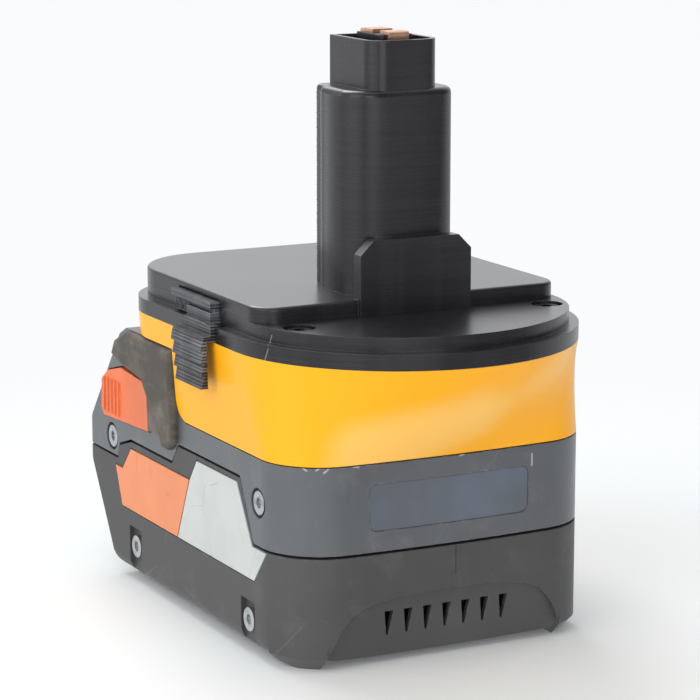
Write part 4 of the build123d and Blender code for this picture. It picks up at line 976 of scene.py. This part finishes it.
@dataclass
class Adapter:
    """The printed adapter: amber shell, black lid and tower, contacts and leads."""

    pieces: Pieces
    seam_corner: tuple[float, float] = (12.45 * MM, -8.50 * MM)
    seam_low: float = 85.3 * MM
    seam_high: float = 132.2 * MM
    bead_pitch: float = 0.45 * MM
    bead_radius: float = 0.24 * MM
    bead_detail: int = 2
    bead_least: Point = (0.7, 0.7, 0.6)
    bead_most: Point = (1.15, 1.15, 0.9)
    seed: int = 7

    def build(self) -> None:
        """Dress the adapter, then add the tower's seam."""
        self.pieces.dress({
            "adapter_body": Finish.AMBER, "lid_ring": Finish.BLACK, "tower_plate": Finish.BLACK,
            "terminal_block": Finish.BLOCK, "front_contact": Finish.COPPER,
            "rear_contact": Finish.COPPER, "blade_holder": Finish.BLOCK,
            "adapter_blades": Finish.COPPER, "positive_wire": Finish.RED_LEAD,
            "negative_wire": Finish.BLACK_LEAD, "lid_screws": Finish.DARK_SCREW})
        self.pieces.dress_pairs({"latch_spring": Finish.SPRING})
        self._seam_beads()

    def _seam_beads(self) -> None:
        """A bead for every layer, up the tower's corner where each layer starts."""
        tree = TreeMaker("seam_beads", {
            "Count": int((self.seam_high - self.seam_low) / self.bead_pitch),
            "Pitch": (0.0, 0.0, self.bead_pitch), "Radius": self.bead_radius,
            "Seed": self.seed})
        bead = tree.node("GeometryNodeMeshIcoSphere",
                         {"Radius": tree.inputs["Radius"], "Subdivisions": self.bead_detail})
        tree.close(tree.scatter(tree.row(), bead,
                                Scale=tree.jitter(self.bead_least, self.bead_most)), Finish.BLACK)
        for side, name in SIDES:
            piece = tree.grow(f"seam_beads_{name}", {
                "Seed": self.seed - side,
                "Place": (side * self.seam_corner[0], self.seam_corner[1], self.seam_low)})
            self.pieces.add(piece, "adapter", "black_print")


@dataclass
class SideLatches:
    """The two thumb latches on the adapter's sides."""

    pieces: Pieces
    strand_count: int = 12
    strand_radius: float = 0.17 * MM
    strand_length: float = 2.9 * MM
    strand_sides: int = 7
    strand_lean: float = 0.55
    strand_twist: float = 0.03
    column_face: float = 42.3 * MM
    strands_front: float = 1.6 * MM
    strands_rear: float = 9.9 * MM
    strands_height: float = 79.9 * MM
    seed: int = 3
    spring_seat: float = 25.7 * MM
    spring_keep: float = 0.69

    def build(self) -> None:
        """Dress the latches, give their springs meshes of their own and add stray strands under
        the hooks.
        """
        for side, name in SIDES:
            self.pieces.shorten(f"latch_spring_{name}", f"latch_{name}_press",
                                side * self.spring_seat, self.spring_keep)
        self.pieces.dress_pairs({"latch": Finish.LATCH})
        pitch = (self.strands_rear - self.strands_front) / (self.strand_count - 1)
        tree = TreeMaker("stray_strands", {
            "Count": self.strand_count, "Pitch": (0.0, pitch, 0.0),
            "Radius": self.strand_radius, "Length": self.strand_length, "Seed": self.seed})
        strand = tree.node("GeometryNodeMeshCylinder",
                           {"Vertices": self.strand_sides, "Radius": tree.inputs["Radius"],
                            "Depth": tree.inputs["Length"]})
        turn = tree.jitter((-self.strand_lean, -self.strand_twist, 0.0),
                           (self.strand_lean, self.strand_twist, 0.0))
        tree.close(tree.scatter(tree.row(), strand, Rotation=turn), Finish.LATCH)
        for side, name in SIDES:
            piece = tree.grow(f"stray_strands_{name}", {
                "Seed": self.seed + side,
                "Place": (side * self.column_face, self.strands_front, self.strands_height)})
            self.pieces.add(piece, f"latch_{name}", "latch_print")


@dataclass(frozen=True)
class Lamp:
    """A square soft lamp that points at the object."""

    name: str
    place: Point
    size: float
    power: float
    aim: Point = (0.0, 0.0, 0.06)

    def hang(self) -> None:
        """Add the lamp to the scene."""
        light = bpy.data.lights.new(self.name, "AREA")
        light.shape = "SQUARE"
        light.size = self.size
        light.energy = self.power
        put_aimed(self.name, light, self.place, Vector(self.aim) - Vector(self.place))


@dataclass
class Studio:
    """Pale sweep, soft lamps and the camera. A fade runs from the first distance to the second."""

    backdrop: Colour = srgb(250, 251, 253)
    paper: Colour = (0.85, 0.875, 0.88)
    mirrored: Colour = (0.90, 0.92, 0.94)
    mirrored_dark: Colour = (0.05, 0.05, 0.06)
    band_near: tuple[float, float] = (0.17, 0.26)
    band_far: tuple[float, float] = (0.50, 0.62)
    band_left: tuple[float, float] = (-0.02, 0.10)
    band_share: float = 0.90
    patch_middle: tuple[float, float] = (0.125, -0.270)
    patch_fade: tuple[float, float] = (0.105, 0.045)
    shadow_fade: tuple[float, float] = (0.078, 0.32)
    near_glow: float = 0.06
    far_glow: float = 0.98
    mirror_share: float = 0.95
    dim_light: float = 0.15
    dim_heading: tuple[float, float] = (0.45, -0.9)
    dim_fade: tuple[float, float] = (-0.15, 0.75)
    dim_top: tuple[float, float] = (0.60, 1.00)
    dim_least: float = 0.10
    dim_more: float = 0.85
    sweep_half: float = 4.0
    sweep_front: float = -3.0
    sweep_top: float = 4.0
    bend_start: float = 1.6
    bend_radius: float = 0.8
    bend_steps: int = 12
    lens: float = 142.65
    sensor: float = 36.0
    azimuth: float = -27.35
    elevation: float = 11.438
    distance: float = 688.33 * MM
    target: Point = (-3.476 * MM, -8.45 * MM, 67.18 * MM)
    lamps: tuple[Lamp, ...] = (Lamp("upper_left", (-1.20, -0.35, 0.50), 1.4, 8.0),
                               Lamp("overhead_rear", (0.00, 0.95, 1.20), 0.9, 12.0),
                               Lamp("front_fill", (-0.30, -1.30, 0.44), 0.9, 6.2))

    def build(self) -> None:
        """Set up everything round the object."""
        bpy.context.scene.view_settings.view_transform = "Standard"
        self._sweep()
        self._world()
        self._camera()
        for lamp in self.lamps:
            lamp.hang()

    def _sweep(self) -> None:
        """A floor that curves up into a backdrop."""
        rows = [(self.sweep_front, 0.0), (self.bend_start, 0.0)]
        for step in range(1, self.bend_steps + 1):
            angle = math.pi / 2 * step / self.bend_steps
            rows.append((self.bend_start + self.bend_radius * math.sin(angle),
                         self.bend_radius - self.bend_radius * math.cos(angle)))
        rows.append((self.bend_start + self.bend_radius, self.sweep_top))
        mesh = bpy.data.meshes.new("sweep")
        points = [(x, y, z) for y, z in rows for x in (-self.sweep_half, self.sweep_half)]
        faces = [(2 * i, 2 * i + 1, 2 * i + 3, 2 * i + 2) for i in range(len(rows) - 1)]
        mesh.from_pydata(points, [], faces)
        mesh.shade_smooth()
        sweep = put_in_scene("sweep", mesh)
        mesh.materials.append(self._paper_sheet())

    def _paper_sheet(self) -> bpy.types.Material:
        """Paper that takes the object's shadow near it and turns plain white far away.

        The object's gloss mirrors a dark band in front, with one pale patch in it.

        Returns:
            The material.
        """
        sheet = ShaderSheet.named("sweep_paper")
        x, y, _ = sheet.axes()
        path = sheet.node("LightPath").outputs
        seen, mirrored, through = (Value(sheet, path[f"Is {kind} Ray"])
                                   for kind in ("Camera", "Glossy", "Transmission"))
        ahead = y * -1
        band = ahead.ramp(*self.band_near) * (1 - ahead.ramp(*self.band_far))
        patch = sheet.length(x - self.patch_middle[0],
                             y - self.patch_middle[1]).ramp(*self.patch_fade)
        left = (x * -1).ramp(*self.band_left)
        pale = 1 - band * (1 - patch) * (1 - left) * self.band_share
        mirror_tone = sheet.mix_colour(pale, self.mirrored_dark, self.mirrored)
        glow_tone = sheet.mix_colour(seen, mirror_tone, self.backdrop)
        away = sheet.length(x, y).ramp(*self.shadow_fade)
        share = (seen * (away * (self.far_glow - self.near_glow) + self.near_glow)
                 + (mirrored + through) * self.mirror_share)
        plain = sheet.node("BsdfDiffuse", {"Color": self.paper}).outputs[0]
        glow = sheet.node("Emission", {"Color": glow_tone, "Strength": 1.0}).outputs[0]
        mixed = sheet.node("MixShader", {0: share, 1: plain, 2: glow})
        sheet.node("OutputMaterial", {"Surface": mixed.outputs[0]})
        return sheet.owner

    def _world(self) -> None:
        """White where seen; as a light, bright above, behind and to the left, dim in front."""
        sheet = ShaderSheet(bpy.data.worlds.new("studio"))
        bpy.context.scene.world = sheet.owner
        split = sheet.node("SeparateXYZ", {0: sheet.node("TexCoord").outputs["Generated"]})
        x, y, z = (Value(sheet, out) for out in split.outputs)
        ahead = (y * self.dim_heading[1] + x * self.dim_heading[0]).ramp(*self.dim_fade)
        dim = ahead * (1 - z.ramp(*self.dim_top)) * self.dim_more + self.dim_least
        white = (1.0, 1.0, 1.0)
        bright, dimmed, shown = (
            sheet.node("Background", {0: colour, 1: strength}).outputs[0]
            for colour, strength in ((white, 1.0), (white, self.dim_light), (self.backdrop, 1.0)))
        lit = sheet.node("MixShader", {0: dim, 1: bright, 2: dimmed}).outputs[0]
        seen = sheet.node("LightPath").outputs["Is Camera Ray"]
        mixed = sheet.node("MixShader", {0: seen, 1: lit, 2: shown})
        sheet.node("OutputWorld", {"Surface": mixed.outputs[0]})

    def _camera(self) -> None:
        """Stand the camera where the photographer stood."""
        turn, rise = math.radians(self.azimuth), math.radians(self.elevation)
        back = Vector((math.sin(turn) * math.cos(rise), -math.cos(turn) * math.cos(rise),
                       math.sin(rise)))
        data = bpy.data.cameras.new("camera")
        data.lens = self.lens
        data.sensor_width = self.sensor
        bpy.context.scene.camera = put_aimed(
            "camera", data, Vector(self.target) + back * self.distance, -back)


def main() -> None:
    """Load the frame, dress every sub-assembly and set up the studio."""
    logging.basicConfig(level=logging.INFO, format="%(message)s")
    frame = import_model()
    pieces = Pieces(frame["nodes"])
    for part in (BatteryPack(pieces), ReleaseButtons(pieces), Adapter(pieces),
                 SideLatches(pieces), Studio()):
        part.build()
        log.info("built %s", type(part).__name__)


if __name__ == "__main__":
    main()
